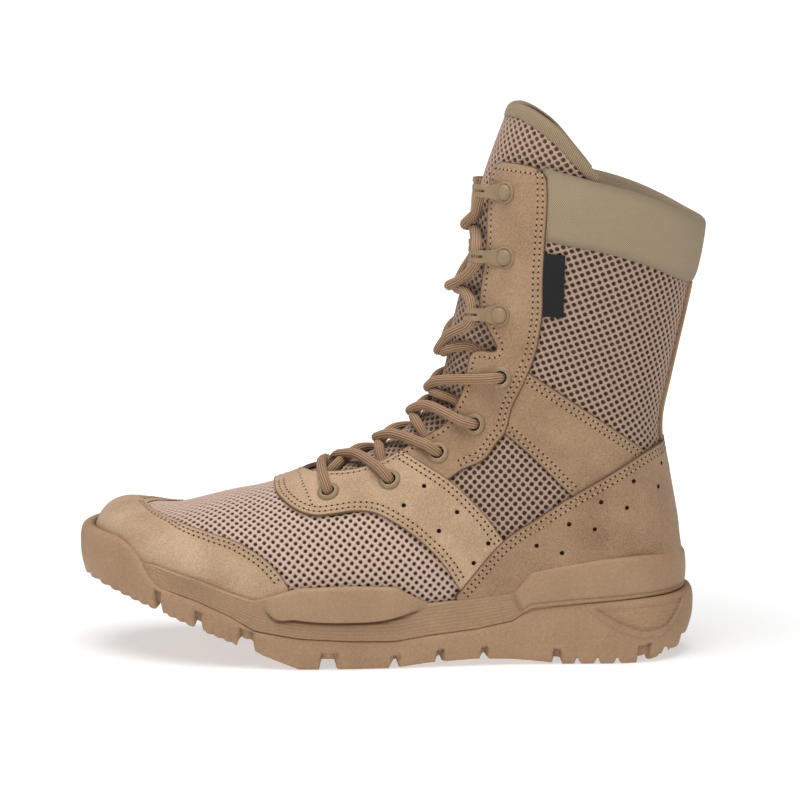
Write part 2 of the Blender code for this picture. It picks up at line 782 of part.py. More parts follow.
def joined(first, second, cut):
    """Two edge lines end to end, the first up to a share of the whole."""

    def line(a):
        s_a, turn_a = first(np.clip(a / cut, 0.0, 1.0))
        s_b, turn_b = second(np.clip((a - cut) / (1.0 - cut), 0.0, 1.0))
        return np.where(a < cut, s_a, s_b), np.where(a < cut, turn_a, turn_b)

    return line


def sheet(lift, thick=OVERLAY):
    """Inner and outer distance of an overlay."""
    return (lambda u, v: lift), (lambda u, v: lift + thick)


def build_wrapped_overlays():
    """Overlays that run round the toe, the throat or the heel."""
    toe_low = line_on_side(sole_line(np.linspace(-142.0, -58.0, 30), 2.6), straight)
    toe_high = line_on_side(TOE_CAP_BACK)
    band("toe_cap", "suede", between(toe_low, toe_high, wrap="ridge"), 26, 4, *sheet(ROUND_LIFT))
    throat_s, _ = on_side(np.array(SADDLE_HIGH["x"][0]), np.array(SADDLE_HIGH["z"][0]))
    throat = throat_line(THROAT_START - 0.08, float(throat_s))
    saddle_high = joined(throat, line_on_side(SADDLE_HIGH), 0.48)
    saddle = between(line_on_side(SADDLE_LOW), saddle_high, wrap="ridge")
    band("saddle", "suede", saddle, 28, 3, *sheet(OVERLAY_LIFT))
    counter_x = np.append(np.linspace(33.0, 136.5, 30), HEEL_BACK + 1.0)
    counter_low = line_on_side(sole_line(counter_x, 2.8), straight)
    counter = between(counter_low, line_on_side(COUNTER_HIGH), wrap="back")
    band("counter", "suede", counter, 30, 3, *sheet(ROUND_LIFT))
    top_x = np.array([74.6, 84, 96, 108, 120, 132, 142, 149.8])
    cuff_high = line_on_side({"x": top_x, "z": collar_height(top_x) - 0.3})
    cuff_front = line_on_side({"x": np.array([74.4, 74.6]), "z": np.array([204.0, 241.5])})
    cuff = between(line_on_side(CUFF_LOW), cuff_high, wrap="back", start=cuff_front)

    def puff(u, v):
        thick = CUFF_EDGE + (CUFF_PAD - CUFF_EDGE) * np.sin(math.pi * v) ** 0.6
        return ROUND_LIFT + thick

    band("cuff", "twill", cuff, 22, 3, lambda u, v: ROUND_LIFT, puff)
    stay_s = solve_section(np.full(3, math.pi), lambda p: p[..., 2] - BACKSTAY["z"], 8.0, COLLAR_ROW)
    stay_turn = math.pi - half_to_turn(stay_s, BACKSTAY["half"])
    stay_share = np.array([0.0, 0.4, 1.0])

    def stay(u, v):
        s = smooth(stay_share, stay_s, u)
        turn = smooth(stay_share, stay_turn, u)
        return s, -turn - (2.0 * math.pi - 2.0 * turn) * v

    band("backstay", "suede", stay, 7, 4, *sheet(ROUND_LIFT))


def build_side_overlays():
    """Overlays with one piece on each side, and the tab in the lateral seam."""
    end_s, _ = on_side(np.array(5.6), np.array(101.9))
    top_s = collar_section(np.array(-0.55))
    front = throat_line(float(top_s) - 0.02, float(end_s))
    back = line_on_side(EYESTAY_BACK)
    high, low = line_on_side(STRAP_HIGH), line_on_side(STRAP_LOW)
    ends = line_on_side(STRAP_FRONT), line_on_side(STRAP_BACK)
    for side, name in ((-1.0, "lateral"), (1.0, "medial")):
        band("eyestay_" + name, "suede", between(front, back, side), 15, 4, *sheet(OVERLAY_LIFT))
        band("strap_" + name, "suede", between(high, low, side, None, *ends), 5, 3, *sheet(OVERLAY_LIFT))
    tab = between(line_on_side(TAB_FRONT), line_on_side(TAB_BACK))
    band("side_tab", "webbing", tab, 3, 2, *sheet(OVERLAY_LIFT, 1.0))


# Lacing

OUTER = OVERLAY_LIFT + OVERLAY  # face of the eyestay above the upper's face
EYELET_HOLE = 3.1
EYELET_BARREL = 3.7
EYELET_FLANGE = 5.4
EYELET_CUT = 4.7  # corners of the hole in the upper and its overlays
HOOK_PLATE = 5.2
HOOK_ARM = 18.0
HOOK_WIDTH = 5.6


def frame_on_side(x, z, side):
    """Matrix of a spot on the upper: its x axis points to the throat, its z axis outwards."""
    s, turn = on_side(np.array(x), np.array(z))
    spot = Vector(skin(s, side * turn))
    out = Vector(skin_normal(s, side * turn))
    ahead = Vector(skin(s, side * (turn - 0.1))) - spot
    ahead = (ahead - out * ahead.dot(out)).normalized()
    frame = Matrix((ahead, out.cross(ahead), out)).transposed().to_4x4()
    frame.translation = spot
    return frame


def lathe(profile, steps):
    """A ring turned from a closed profile of radius and height."""
    bm = bmesh.new()
    corners = [bm.verts.new((r, 0.0, h)) for r, h in profile]
    edges = [bm.edges.new((a, b)) for a, b in zip(corners, corners[1:] + corners[:1])]
    bmesh.ops.spin(
        bm, geom=corners + edges, axis=(0, 0, 1), cent=(0, 0, 0), angle=2.0 * math.pi, steps=steps,
        use_merge=True,
    )
    return bm


def build_eyelets():
    low = OUTER + 0.5
    profile = [
        (EYELET_HOLE, -1.4), (EYELET_BARREL, -1.4), (EYELET_BARREL, low), (EYELET_FLANGE, low),
        (EYELET_HOLE, low + 1.0),
    ]
    for side, name in ((-1.0, "lateral"), (1.0, "medial")):
        for k, (x, z) in enumerate(zip(EYELETS["x"], EYELETS["z"])):
            bm = lathe(profile, 8)
            bmesh.ops.transform(bm, matrix=frame_on_side(x, z, side), verts=bm.verts)
            add_object(f"eyelet_{name}_{k + 1}", bm, "metal")


def join_with(thing, other, operation):
    """Exact Boolean of two bodies, the second used up."""
    cut = thing.modifiers.new("join", "BOOLEAN")
    cut.operation = operation
    cut.solver = "EXACT"
    cut.object = other
    mesh = bpy.data.meshes.new_from_object(thing.evaluated_get(bpy.context.evaluated_depsgraph_get()))
    thing.modifiers.clear()
    thing.data = mesh
    bpy.data.objects.remove(other, do_unlink=True)


def cut_eyelet_holes(names):
    """Holes through the upper and the overlays for the eyelets' barrels."""
    for name in names:
        thing = bpy.data.objects[name]
        for side in (-1.0, 1.0):
            for x, z in zip(EYELETS["x"], EYELETS["z"]):
                bm = bmesh.new()
                bmesh.ops.create_cone(
                    bm, cap_ends=True, segments=6, radius1=EYELET_CUT, radius2=EYELET_CUT, depth=9.0,
                )
                bmesh.ops.transform(bm, matrix=frame_on_side(x, z, side), verts=bm.verts)
                join_with(thing, add_object("cutter", bm, "metal"), "DIFFERENCE")


def build_hooks():
    low = OUTER + 0.5
    leaf = [
        (0, low), (HOOK_ARM - 1, low), (HOOK_ARM, low + 1), (HOOK_ARM, low + 5.4), (HOOK_ARM - 1, low + 6.4),
        (HOOK_ARM - 6, low + 6.4), (HOOK_ARM - 6, low + 5.4), (HOOK_ARM - 1.2, low + 5.4),
        (HOOK_ARM - 1.2, low + 1), (0, low + 1),
    ]
    for side, name in ((-1.0, "lateral"), (1.0, "medial")):
        for k, (x, z) in enumerate(zip(HOOKS["x"], HOOKS["z"])):
            bm = bmesh.new()
            face = bm.faces.new([bm.verts.new((a, -0.5 * HOOK_WIDTH, h)) for a, h in leaf])
            made = bmesh.ops.extrude_face_region(bm, geom=[face], use_keep_orig=True)["geom"]
            bmesh.ops.translate(
                bm, vec=(0, HOOK_WIDTH, 0), verts=[g for g in made if isinstance(g, bmesh.types.BMVert)],
            )
            bmesh.ops.transform(bm, matrix=frame_on_side(x, z, side), verts=bm.verts)
            hook = add_object(f"hook_{name}_{k + 1}", bm, "metal")
            plate = bmesh.new()
            bmesh.ops.create_cone(
                plate, cap_ends=True, segments=8, radius1=HOOK_PLATE, radius2=3.4, depth=2.2,
                matrix=Matrix.Translation((0, 0, low + 1.05)),
            )
            bmesh.ops.transform(plate, matrix=frame_on_side(x, z, side), verts=plate.verts)
            join_with(hook, add_object("plate", plate, "metal"), "UNION")


def cord(name, points):
    """A closed round cord through points."""
    line = bpy.data.curves.new(name, "CURVE")
    line.dimensions = "3D"
    line.bevel_depth = LACE_RADIUS
    line.bevel_resolution = 1
    line.use_fill_caps = True
    spline = line.splines.new("POLY")
    spline.points.add(len(points) - 1)
    for knot, point in zip(spline.points, points):
        knot.co = (*point, 1.0)
    holder = bpy.data.objects.new(name, line)
    bpy.context.scene.collection.objects.link(holder)
    mesh = bpy.data.meshes.new_from_object(holder.evaluated_get(bpy.context.evaluated_depsgraph_get()))
    bpy.data.objects.remove(holder, do_unlink=True)
    bm = bmesh.new()
    bm.from_mesh(mesh)
    return add_object(name, bm, "cord")


def lace_point(s, share, out):
    """Point over the throat: share -1 and 1 are its lateral and medial edge."""
    s = float(s)
    return Vector(shell(np.array(s), share * throat_turn(np.array(s)), np.array(out)))


def seated_point(tongue, s, share):
    """Point over the throat at which a lace lies on the tongue."""
    height = 1.0
    for _ in range(6):
        spot = lace_point(s, share, height)
        height -= tongue.find_nearest(spot)[3] - LACE_RADIUS - LACE_PLAY
    return lace_point(s, share, height)


def build_laces(tongue):
    spots = [on_side(np.array(x), np.array(z)) for x, z in zip(EYELETS["x"], EYELETS["z"])]
    hooks = [on_side(np.array(x), np.array(z)) for x, z in zip(HOOKS["x"], HOOKS["z"])]
    over = OUTER + 0.8 + LACE_RADIUS
    top = OUTER + 2.3 + LACE_RADIUS

    def eyelet_end(k, side):
        s, turn = spots[k]
        return Vector(shell(s, side * turn, np.array(top)))

    first = float(spots[0][0])
    bar = [eyelet_end(0, -1.0)]
    bar += [lace_point(first, share, top - 2.0 * (1 - abs(share))) for share in (-1.0, -0.4, 0.4, 1.0)]
    cord("lace_1", bar + [eyelet_end(0, 1.0)])
    levels = [float(s) for s, _ in spots + hooks]
    for k in range(len(levels) - 1):
        low, high = levels[k], levels[k + 1]
        middle = 0.5 * (low + high)
        strands = []
        for side in (-1.0, 1.0):
            points = [seated_point(tongue, low + 0.25 * (high - low), 0.8 * side)]
            points.append(lace_point(middle, 0.04 * side, over + 0.5 + 0.5 * side))
            if k + 1 < len(spots):
                points.append(lace_point(middle + 0.35 * (high - low), -0.95 * side, top))
                points.append(eyelet_end(k + 1, -side))
            else:
                points.append(lace_point(middle + 0.28 * (high - low), -0.62 * side, over))
            strands.append(cord("strand" if side > 0 else f"lace_{k + 2}", points))
        join_with(strands[0], strands[1], "UNION")


clear_scene()
upper = build_upper()
build_sole(tree_of(upper))
build_insole()
tongue = build_tongue()
build_wrapped_overlays()
build_side_overlays()
cut_eyelet_holes(["upper", "saddle", "eyestay_lateral", "eyestay_medial"])
build_eyelets()
build_hooks()
build_laces(tree_of(tongue))
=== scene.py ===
"""Looks of the desert combat boot, left foot. Toe towards -x, lateral side -y, ground at z = 0."""

import json
import math

import bmesh
import bpy
import numpy as np
from mathutils import Matrix, Vector
from mathutils.bvhtree import BVHTree
from mathutils.geometry import barycentric_transform
from mathutils.kdtree import KDTree

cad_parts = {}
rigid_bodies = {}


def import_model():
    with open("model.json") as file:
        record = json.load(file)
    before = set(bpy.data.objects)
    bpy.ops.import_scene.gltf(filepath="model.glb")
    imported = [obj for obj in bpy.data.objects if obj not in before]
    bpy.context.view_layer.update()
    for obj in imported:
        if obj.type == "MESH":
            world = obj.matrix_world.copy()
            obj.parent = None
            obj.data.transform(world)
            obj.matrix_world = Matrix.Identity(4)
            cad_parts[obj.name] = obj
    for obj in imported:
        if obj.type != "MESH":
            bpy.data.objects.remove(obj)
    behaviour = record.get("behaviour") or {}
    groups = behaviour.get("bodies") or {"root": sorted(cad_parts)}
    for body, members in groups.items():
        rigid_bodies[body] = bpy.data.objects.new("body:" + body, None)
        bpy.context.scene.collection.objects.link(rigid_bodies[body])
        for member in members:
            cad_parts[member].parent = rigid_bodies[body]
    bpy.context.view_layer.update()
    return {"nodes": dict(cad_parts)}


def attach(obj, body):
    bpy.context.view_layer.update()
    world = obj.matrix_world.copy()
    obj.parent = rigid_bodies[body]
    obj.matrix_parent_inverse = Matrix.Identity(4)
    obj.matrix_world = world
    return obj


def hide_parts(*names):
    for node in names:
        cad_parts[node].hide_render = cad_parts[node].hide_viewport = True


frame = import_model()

MM = 0.001
MIDDLE = (0.2, 1.0, 0.0)  # moves the middle of the boot's box to the origin, mm

# Camera, mm
VIEW_WIDTH = 389.6  # width of the picture at the boot
VIEW_CENTRE = (3.4, 0.0, 122.9)
VIEW_DISTANCE = 1800.0
VIEW_RISE = math.radians(8.0)
SENSOR = 36.0


def into_scene(name, data):
    """An object in the scene."""
    item = bpy.data.objects.new(name, data)
    bpy.context.scene.collection.objects.link(item)
    return item


def add_camera():
    lens = bpy.data.cameras.new("camera")
    lens.sensor_width = SENSOR
    lens.lens = SENSOR * VIEW_DISTANCE / VIEW_WIDTH
    camera = into_scene("camera", lens)
    back = Vector((0.0, -math.cos(VIEW_RISE), math.sin(VIEW_RISE)))
    camera.location = (Vector(VIEW_CENTRE) + VIEW_DISTANCE * back) * MM
    camera.rotation_euler = (0.5 * math.pi - VIEW_RISE, 0.0, 0.0)
    bpy.context.scene.camera = camera


add_camera()

# Sides of the boot: sign of y and name
SIDES = ((-1.0, "lateral"), (1.0, "medial"))
BOTH = (-1.0, 1.0)

# Driving sizes of the boot, mm
WALL = 2.4  # upper: knit, foam and lining together
SWELL = 1.03  # the toe box is this much wider than its seat
TOE_TIP = -145.0
TOE_TURN = 65.0  # length of the toe's rounding seen from above
TOE_DOME = 23.0  # length of the toe's rounding seen from the side
DOME_POWER = 3.0
CROWN_CURVE = (-0.08, 0.0125, -0.00023)  # rise of the toe's crown by powers of the way ahead of row 1
TOE_DROP = 2.8  # lowers the toe's crown, more and more between these two distances ahead
TOE_DROP_FROM = 76.0
TOE_DROP_TO = 112.0
HEEL_BACK = 137.3
HEEL_TURN = 40.0  # length of the heel's rounding seen from above
ROUND_POWER = 2.15
THROAT_START = 3.7  # in sections, like the three rows below
HEEL_ROW = 8.0
COLLAR_ROW = 14.0
TONGUE_ROW = 15.0
TONGUE_THICK = 4.0
TONGUE_PLAY = 1.4  # between the inside of the upper and the tongue


def table(names, rows):
    """Columns of a short table by name."""
    values = np.array(rows, dtype=float)
    return {name: values[:, k] for k, name in enumerate(names.split())}


# The last from above: middle line and half width before the ends are rounded
PLAN = table("x centre half", [
    (-145, 7.5, 47.0),
    (-120, 5.0, 46.5),
    (-100, 2.6, 46.3),
    (-80, 0.8, 46.2),
    (-60, -0.8, 47.2),
    (-40, -2.5, 46.5),
    (-20, -4.0, 44.0),
    (0, -4.8, 40.8),
    (20, -4.8, 37.8),
    (40, -4.0, 35.6),
    (60, -2.8, 34.3),
    (80, -1.5, 34.0),
    (100, -0.5, 34.0),
    (137.3, 0, 34.0),
])

# Heights along the sole: seat of the upper, rim of the midsole, parting line, lowest line, lug depth
LEVELS = table("x seat rim parting ground lug", [
    (-145, 53.0, 53.0, 47.0, 38.0, 3.2),
    (-133, 50.0, 50.0, 43.5, 33.6, 3.4),
    (-122, 46.8, 48.6, 40.5, 29.4, 3.6),
    (-113, 44.2, 48.2, 38.0, 26.4, 3.8),
    (-94, 37.7, 42.6, 32.5, 18.7, 4.0),
    (-78, 32.3, 36.8, 25.5, 12.4, 4.2),
    (-66, 29.2, 33.0, 18.5, 8.0, 4.6),
    (-45, 25.8, 39.6, 15.0, 0.0, 5.0),
    (-20, 25.3, 40.4, 13.5, 0.0, 4.5),
    (0, 25.5, 39.6, 13.0, 0.0, 4.0),
    (16, 26.8, 31.0, 15.4, 2.0, 3.0),
    (40, 29.2, 33.0, 18.0, 3.2, 3.0),
    (57, 30.8, 35.0, 21.5, 2.6, 3.0),
    (66, 31.6, 45.5, 27.5, 1.8, 3.0),
    (81, 32.6, 48.5, 28.8, 0.0, 2.8),
    (100, 33.8, 51.0, 30.2, 0.0, 2.6),
    (118, 34.6, 52.0, 31.2, 0.0, 2.8),
    (129, 34.9, 52.0, 31.6, 3.5, 3.0),
    (137.3, 35.0, 50.0, 32.0, 8.0, 3.0),
])

# Sections of the upper from the toe box to the tongue top
SECTIONS = table("top_x top_z low_x low_z half ridge low_round top_round", [
    (-105, 72.5, -105, 0, 44.7, 3.2, 0.62, 0.72),
    (-80, 76.8, -78, 0, 47.4, 2.4, 0.66, 0.82),
    (-57, 82.2, -46, 0, 48.4, 2.0, 0.70, 0.92),
    (-37, 90.2, -12, 0, 46.0, 1.0, 0.75, 0.97),
    (-12.5, 100.6, 27, 0, 42.0, 0.0, 0.78, 1.00),
    (4, 112.3, 69, 0, 39.6, 0.0, 0.76, 1.00),
    (16, 125.3, 112, 0, 38.2, 0.0, 0.70, 0.97),
    (21.5, 140.0, 137.3, 35, 38.0, 0.0, 0.68, 0.97),
    (24.5, 158.0, 137.3, 60, 38.2, 0.0, 0.70, 0.97),
    (28.5, 175.0, 132.5, 88, 37.6, 0.0, 0.77, 0.94),
    (33.0, 192.0, 129.0, 112, 37.8, 0.0, 0.84, 0.92),
    (37.5, 210.0, 133.5, 137, 39.6, 0.0, 0.89, 0.92),
    (41.5, 226.0, 142.0, 176, 43.2, 0.0, 0.92, 0.92),
    (46.0, 241.0, 150.0, 217, 46.6, 0.0, 0.94, 0.94),
    (59.5, 277.0, 162.5, 258, 49.5, 0.0, 0.95, 0.95),
])
ROW_AT = np.arange(1.0, 1.0 + len(SECTIONS["half"]))

# Half opening of the throat along the sections
THROAT = table("s half", [
    (3.7, 0.0),
    (3.85, 9.0),
    (4.15, 16.0),
    (4.5, 20.0),
    (5, 21.5),
    (6, 21.0),
    (7, 22.0),
    (8.5, 24.0),
    (10, 24.5),
    (12, 23.0),
    (13, 20.5),
    (14, 18.0),
    (15, 16.5),
])

# Top edge of the upper, seen from the side
COLLAR = table("x z", [
    (40, 242.0),
    (74, 242.0),
    (90, 237.5),
    (110, 232.5),
    (126, 227.0),
    (145, 218.0),
    (152, 215.0),
])

# Tongue half width as a turn from the ridge in degrees, and its top edge seen from the side
TONGUE_SPREAD = table("s turn", [
    (3.3, 32), (5, 42), (8, 54), (9.7, 62), (11, 64), (13, 80), (14.6, 92),
])
TONGUE_TOP = table("x z", [
    (55.6, 266.5), (61, 266.8), (67.5, 263.0), (77, 255.5), (87, 244.5), (95, 235.5), (100, 229.5),
])

# Edges of the overlays, seen from the side; ends that run under a neighbour go on below it
TOE_CAP_BACK = table("x z", [
    (-120.5, 72.8), (-112, 68.4), (-100.6, 65.6), (-83, 61.8), (-71.8, 58.0), (-60.6, 51.7),
    (-53.3, 44.7), (-49, 38.0),
])
SADDLE_LOW = table("x z", [
    (-59.5, 90.0), (-54.3, 77.5), (-47, 73.4), (-38, 71.3), (-28.5, 72.2), (-18.7, 73.7), (-10, 73.4),
    (0, 69.3), (12.4, 61.0), (23, 50.5), (29, 41.5), (34, 33.0),
])
SADDLE_HIGH = table("x z", [(4.8, 100.6), (15.3, 95.2), (25.6, 89.3), (42, 74.6), (51.5, 62.2), (60, 50.0)])
EYESTAY_BACK = table("x z", [
    (73.4, 239.0), (73.4, 226.0), (72.5, 207.0), (71.5, 188.0), (70.6, 164.6), (68.6, 152.7),
    (66.0, 144.3), (63.4, 137.8), (56.8, 122.9), (52.2, 109.5), (47.0, 102.4), (36, 94.6), (24, 87.0),
])
STRAP_HIGH = table("x z", [(60, 144.6), (66.2, 140.3), (82, 129.7), (98, 118.6), (112, 108.5), (123, 99.5)])
STRAP_LOW = table("x z", [(48, 115.6), (54.6, 110.3), (62, 104.2), (72.3, 94.8), (81, 85.9), (90, 77.0)])
COUNTER_HIGH = table("x z", [
    (29, 34.0), (52.8, 60.8), (68.4, 70.9), (86.4, 82.6), (104, 92.6), (119, 101.0), (126, 103.8),
    (130.6, 104.6),
])
CUFF_LOW = table("x z", [(69.0, 204.9), (98.6, 199.3), (120, 192.6), (134, 185.6), (143.2, 181.0)])
SHAFT_HIGH = table("x z", [(64, 208.0), (98.6, 202.3), (120, 195.6), (134, 188.6), (143.2, 184.0)])
SHAFT_LOW = table("x z", [(60, 136.0), (79, 126.0), (95, 115.0), (110, 104.0), (120, 98.0), (130, 99.0)])
TAB_FRONT = table("x z", [(70.6, 198.9), (69.8, 184.3), (68.9, 168.5)])
TAB_BACK = table("x z", [(81.6, 197.8), (81.3, 183.2), (81.0, 167.8)])
BACKSTAY = table("z half", [(181.5, 10.0), (150, 9.0), (101, 8.0)])

# Lacing: eyelets and hooks, seen from the side, from the toe up
EYELETS = table("x z", [(-30.9, 81.2), (-1.5, 87.7), (21.6, 100.6), (39.6, 115.2), (51.9, 138.4)])
HOOKS = table("x z", [(51.4, 168.0), (54.0, 195.7), (54.6, 226.5)])
LACE_RADIUS = 2.4

# Faces of the layers above the upper's own face
KNIT_CROWN = 0.5
BACKING = -0.7
UNDER = 0.1  # underside of every overlay
STRAP_FACE = 1.4
EYESTAY_FACE = 1.8
SADDLE_FACE = 2.1
TOE_CAP_FACE = 2.0
COUNTER_FACE = 2.5
BACKSTAY_FACE = 2.1


def smooth(at, values, x):
    """Cubic curve through the rows of a table, flat outside them."""
    x = np.clip(np.asarray(x, dtype=float), at[0], at[-1])
    slope = np.gradient(values, at)
    k = np.clip(np.searchsorted(at, x, side="right") - 1, 0, len(at) - 2)
    width = at[k + 1] - at[k]
    f = (x - at[k]) / width
    g = 1.0 - f
    ends = values[k] * g * g * (1 + 2 * f) + values[k + 1] * f * f * (1 + 2 * g)
    return ends + width * f * g * (slope[k] * g - slope[k + 1] * f)


def straight(at, values, x):
    """Straight lines through the rows of a table."""
    return np.interp(x, at, values)


def ramp(low, high, x):
    """Soft step from 0 at low to 1 at high."""
    t = np.clip((x - low) / (high - low), 0.0, 1.0)
    return t * t * (3.0 - 2.0 * t)


def rounded(q, power=ROUND_POWER):
    """Height of a rounded end at q from its start (0) to its tip (1)."""
    q = np.clip(q, 0.0, 1.0)
    return (1.0 - q ** power) ** (1.0 / power)


def unit(rows):
    """Directions of length 1."""
    return rows / np.maximum(np.linalg.norm(rows, axis=-1, keepdims=True), 1e-9)


def run_lengths(points):
    """Lengths along a line of points, from its start."""
    return np.concatenate([[0.0], np.cumsum(np.linalg.norm(np.diff(points, axis=0), axis=1))])


def at_lengths(points, lengths, at):
    """Points of a line at given lengths along it."""
    return np.stack([np.interp(at, lengths, points[:, j]) for j in range(3)], axis=1)


def plan_centre(x):
    return smooth(PLAN["x"], PLAN["centre"], x)


def plan_half(x):
    x = np.asarray(x, dtype=float)
    toe = rounded((TOE_TIP + TOE_TURN - x) / TOE_TURN)
    heel = rounded((x - HEEL_BACK + HEEL_TURN) / HEEL_TURN)
    return smooth(PLAN["x"], PLAN["half"], x) * toe * heel


def level(name, x):
    """A height of the sole at x, straight between rows where a step must stay crisp."""
    if name in ("rim", "parting", "ground", "lug"):
        return straight(LEVELS["x"], LEVELS[name], x)
    return smooth(LEVELS["x"], LEVELS[name], x)


def sections(s):
    """Ends, half width, middle line and roundness of the upper's sections at s."""
    s = np.asarray(s, dtype=float)
    row = np.maximum(s, 1.0)
    out = {name: smooth(ROW_AT, SECTIONS[name], row) for name in SECTIONS}
    toe = s < 1.0
    first = SECTIONS["low_x"][0]
    toe_x = TOE_TIP + (first - TOE_TIP) * (1.0 - np.cos(0.5 * math.pi * np.minimum(s, 1.0)))
    ahead = np.maximum(first - toe_x, 0.0)
    slope, bend, twist = CROWN_CURVE
    crown = SECTIONS["top_z"][0] + slope * ahead + bend * ahead ** 2 + twist * ahead ** 3
    dome = rounded((TOE_TIP + TOE_DOME - toe_x) / TOE_DOME, DOME_POWER)
    toe_seat = level("seat", toe_x)
    out["top_x"] = np.where(toe, toe_x, out["top_x"])
    out["top_z"] = np.where(toe, toe_seat + (crown - toe_seat) * dome, out["top_z"])
    out["low_x"] = np.where(toe, toe_x, out["low_x"])
    out["half"] = np.where(toe, SWELL * plan_half(toe_x), out["half"])
    out["ridge"] = np.where(toe, plan_centre(toe_x), out["ridge"])
    out["top_z"] = out["top_z"] - TOE_DROP * ramp(TOE_DROP_FROM, TOE_DROP_TO, -out["top_x"])
    late = (s > HEEL_ROW - 1.0) & (s <= HEEL_ROW)
    before = SECTIONS["low_x"][int(HEEL_ROW) - 2]
    swing = np.sin(0.5 * math.pi * np.clip(s - HEEL_ROW + 1.0, 0.0, 1.0))
    out["low_x"] = np.where(late, before + (HEEL_BACK - before) * swing, out["low_x"])
    out["low_z"] = np.where(s <= HEEL_ROW, level("seat", out["low_x"]), out["low_z"])
    share = np.clip(plan_half(out["low_x"]) / np.maximum(out["half"], 1e-6), 0.0, 1.0)
    start = np.arcsin(share ** (1.0 / out["low_round"]))
    out["start"] = np.where(s < HEEL_ROW, start, 0.0)
    out["sole_y"] = np.where(s < HEEL_ROW, plan_centre(out["low_x"]), 0.0)
    return out


def skin(s, turn):
    """Point of the upper's outer face: section s, turn from the ridge (lateral below zero)."""
    s, turn = np.broadcast_arrays(np.asarray(s, dtype=float), np.asarray(turn, dtype=float))
    turn = (turn + math.pi) % (2.0 * math.pi) - math.pi
    c = sections(s)
    side = np.where(turn < 0.0, -1.0, 1.0)
    angle = np.maximum(math.pi - np.abs(turn), c["start"])
    base = np.cos(c["start"])
    t = (base - np.cos(angle)) / (1.0 + base)
    power = c["low_round"] + (c["top_round"] - c["low_round"]) * t
    y = c["half"] * np.maximum(np.sin(angle), 0.0) ** power
    middle = c["sole_y"] + (c["ridge"] - c["sole_y"]) * t
    x = c["low_x"] + t * (c["top_x"] - c["low_x"])
    z = c["low_z"] + t * (c["top_z"] - c["low_z"])
    return np.stack([x, middle + side * y, z], axis=-1)


def skin_normal(s, turn, step=0.02):
    """Outward direction of the upper's outer face."""
    s, turn = np.broadcast_arrays(np.asarray(s, dtype=float), np.asarray(turn, dtype=float))
    s = np.maximum(s, 0.03)
    along = skin(s + step, turn) - skin(np.maximum(s - step, 0.005), turn)
    start = sections(s)["start"]
    limit = math.pi - start
    inward = np.where(start > 0.0, np.clip(turn, -limit + step, limit - step), turn)
    across = skin(s, inward + step) - skin(s, inward - step)
    n = unit(np.cross(along, across))
    return np.where((s > 0.035)[..., None], n, np.array([-1.0, 0.0, 0.0]))


# Soft creases of the worn upper, seen from the side: the two ends, depth (below zero a swell) and width
CREASES = table("x z to_x to_z depth width", [
    (-84, 62, -66, 74, 0.7, 4.0),
    (-74, 50, -56, 62, -0.6, 5.0),
    (52, 152, 66, 146, 0.8, 3.5),
    (54, 143, 64, 139, -0.6, 3.0),
    (84, 150, 112, 138, 0.9, 5.0),
    (82, 166, 118, 158, -0.7, 6.0),
    (92, 178, 124, 168, 0.7, 5.0),
    (70, 118, 90, 110, 0.6, 4.0),
    (20, 62, 36, 66, 0.6, 4.0),
    (100, 66, 122, 72, 0.5, 6.0),
    (84, 214, 120, 206, 0.7, 5.0),
])


def relief(points):
    """How far the creases press the upper's face in."""
    deep = np.zeros(points.shape[:-1])
    for x, z, to_x, to_z, depth, width in zip(*CREASES.values()):
        run, rise = to_x - x, to_z - z
        ahead, above = points[..., 0] - x, points[..., 2] - z
        along = np.clip((ahead * run + above * rise) / (run ** 2 + rise ** 2), 0.0, 1.0)
        away = np.hypot(ahead - along * run, above - along * rise)
        deep += depth * np.exp(-(away / width) ** 2)
    return deep


def shell(s, turn, out):
    """Point at a distance from the upper's outer face, outwards above zero."""
    face = skin(s, turn)
    return face + (np.asarray(out) - relief(face))[..., None] * skin_normal(s, turn)


def turn_limit(s):
    return math.pi - sections(s)["start"]


def half_to_turn(s, half):
    """Turn at which the section is a given half width from the ridge line."""
    c = sections(s)
    share = np.clip(half / np.maximum(c["half"], 1e-6), 0.0, 1.0)
    return np.arcsin(share ** (1.0 / c["top_round"]))


def collar_height(x):
    return smooth(COLLAR["x"], COLLAR["z"], x)


def on_side(x, z):
    """Section and turn of the upper's face at a point seen from the side."""
    x, z = np.asarray(x, dtype=float), np.asarray(z, dtype=float)
    low, high = np.zeros(x.shape), np.full(x.shape, TONGUE_ROW)
    for _ in range(40):
        s = 0.5 * (low + high)
        c = sections(s)
        run, rise = c["top_x"] - c["low_x"], c["top_z"] - c["low_z"]
        ahead, above = x - c["low_x"], z - c["low_z"]
        behind = ahead * rise - above * run > 0.0
        low, high = np.where(behind, s, low), np.where(behind, high, s)
    t = (ahead * run + above * rise) / (run ** 2 + rise ** 2)
    base = np.cos(c["start"])
    angle = np.arccos(np.clip(base - np.clip(t, 0.0, 1.0) * (1.0 + base), -1.0, 1.0))
    return s, math.pi - angle


def line_on_side(points, join=smooth):
    """Curve through points seen from the side: section and turn at a share of its length."""
    s, turn = on_side(points["x"], points["z"])
    length = run_lengths(skin(s, -turn))
    share = length / length[-1]
    return lambda a: (join(share, s, a), join(share, turn, a))


def finer(points, count=40):
    """The same curve seen from the side, through more points."""
    x = np.linspace(points["x"][0], points["x"][-1], count)
    return {"x": x, "z": smooth(points["x"], points["z"], x)}


def solve_section(turn, miss, low, high):
    """Section at which miss(point) changes sign along one turn."""
    low = np.full(np.shape(turn), float(low))
    high = np.full(np.shape(turn), float(high))
    for _ in range(34):
        middle = 0.5 * (low + high)
        above = miss(skin(middle, turn)) > 0.0
        high = np.where(above, middle, high)
        low = np.where(above, low, middle)
    return 0.5 * (low + high)


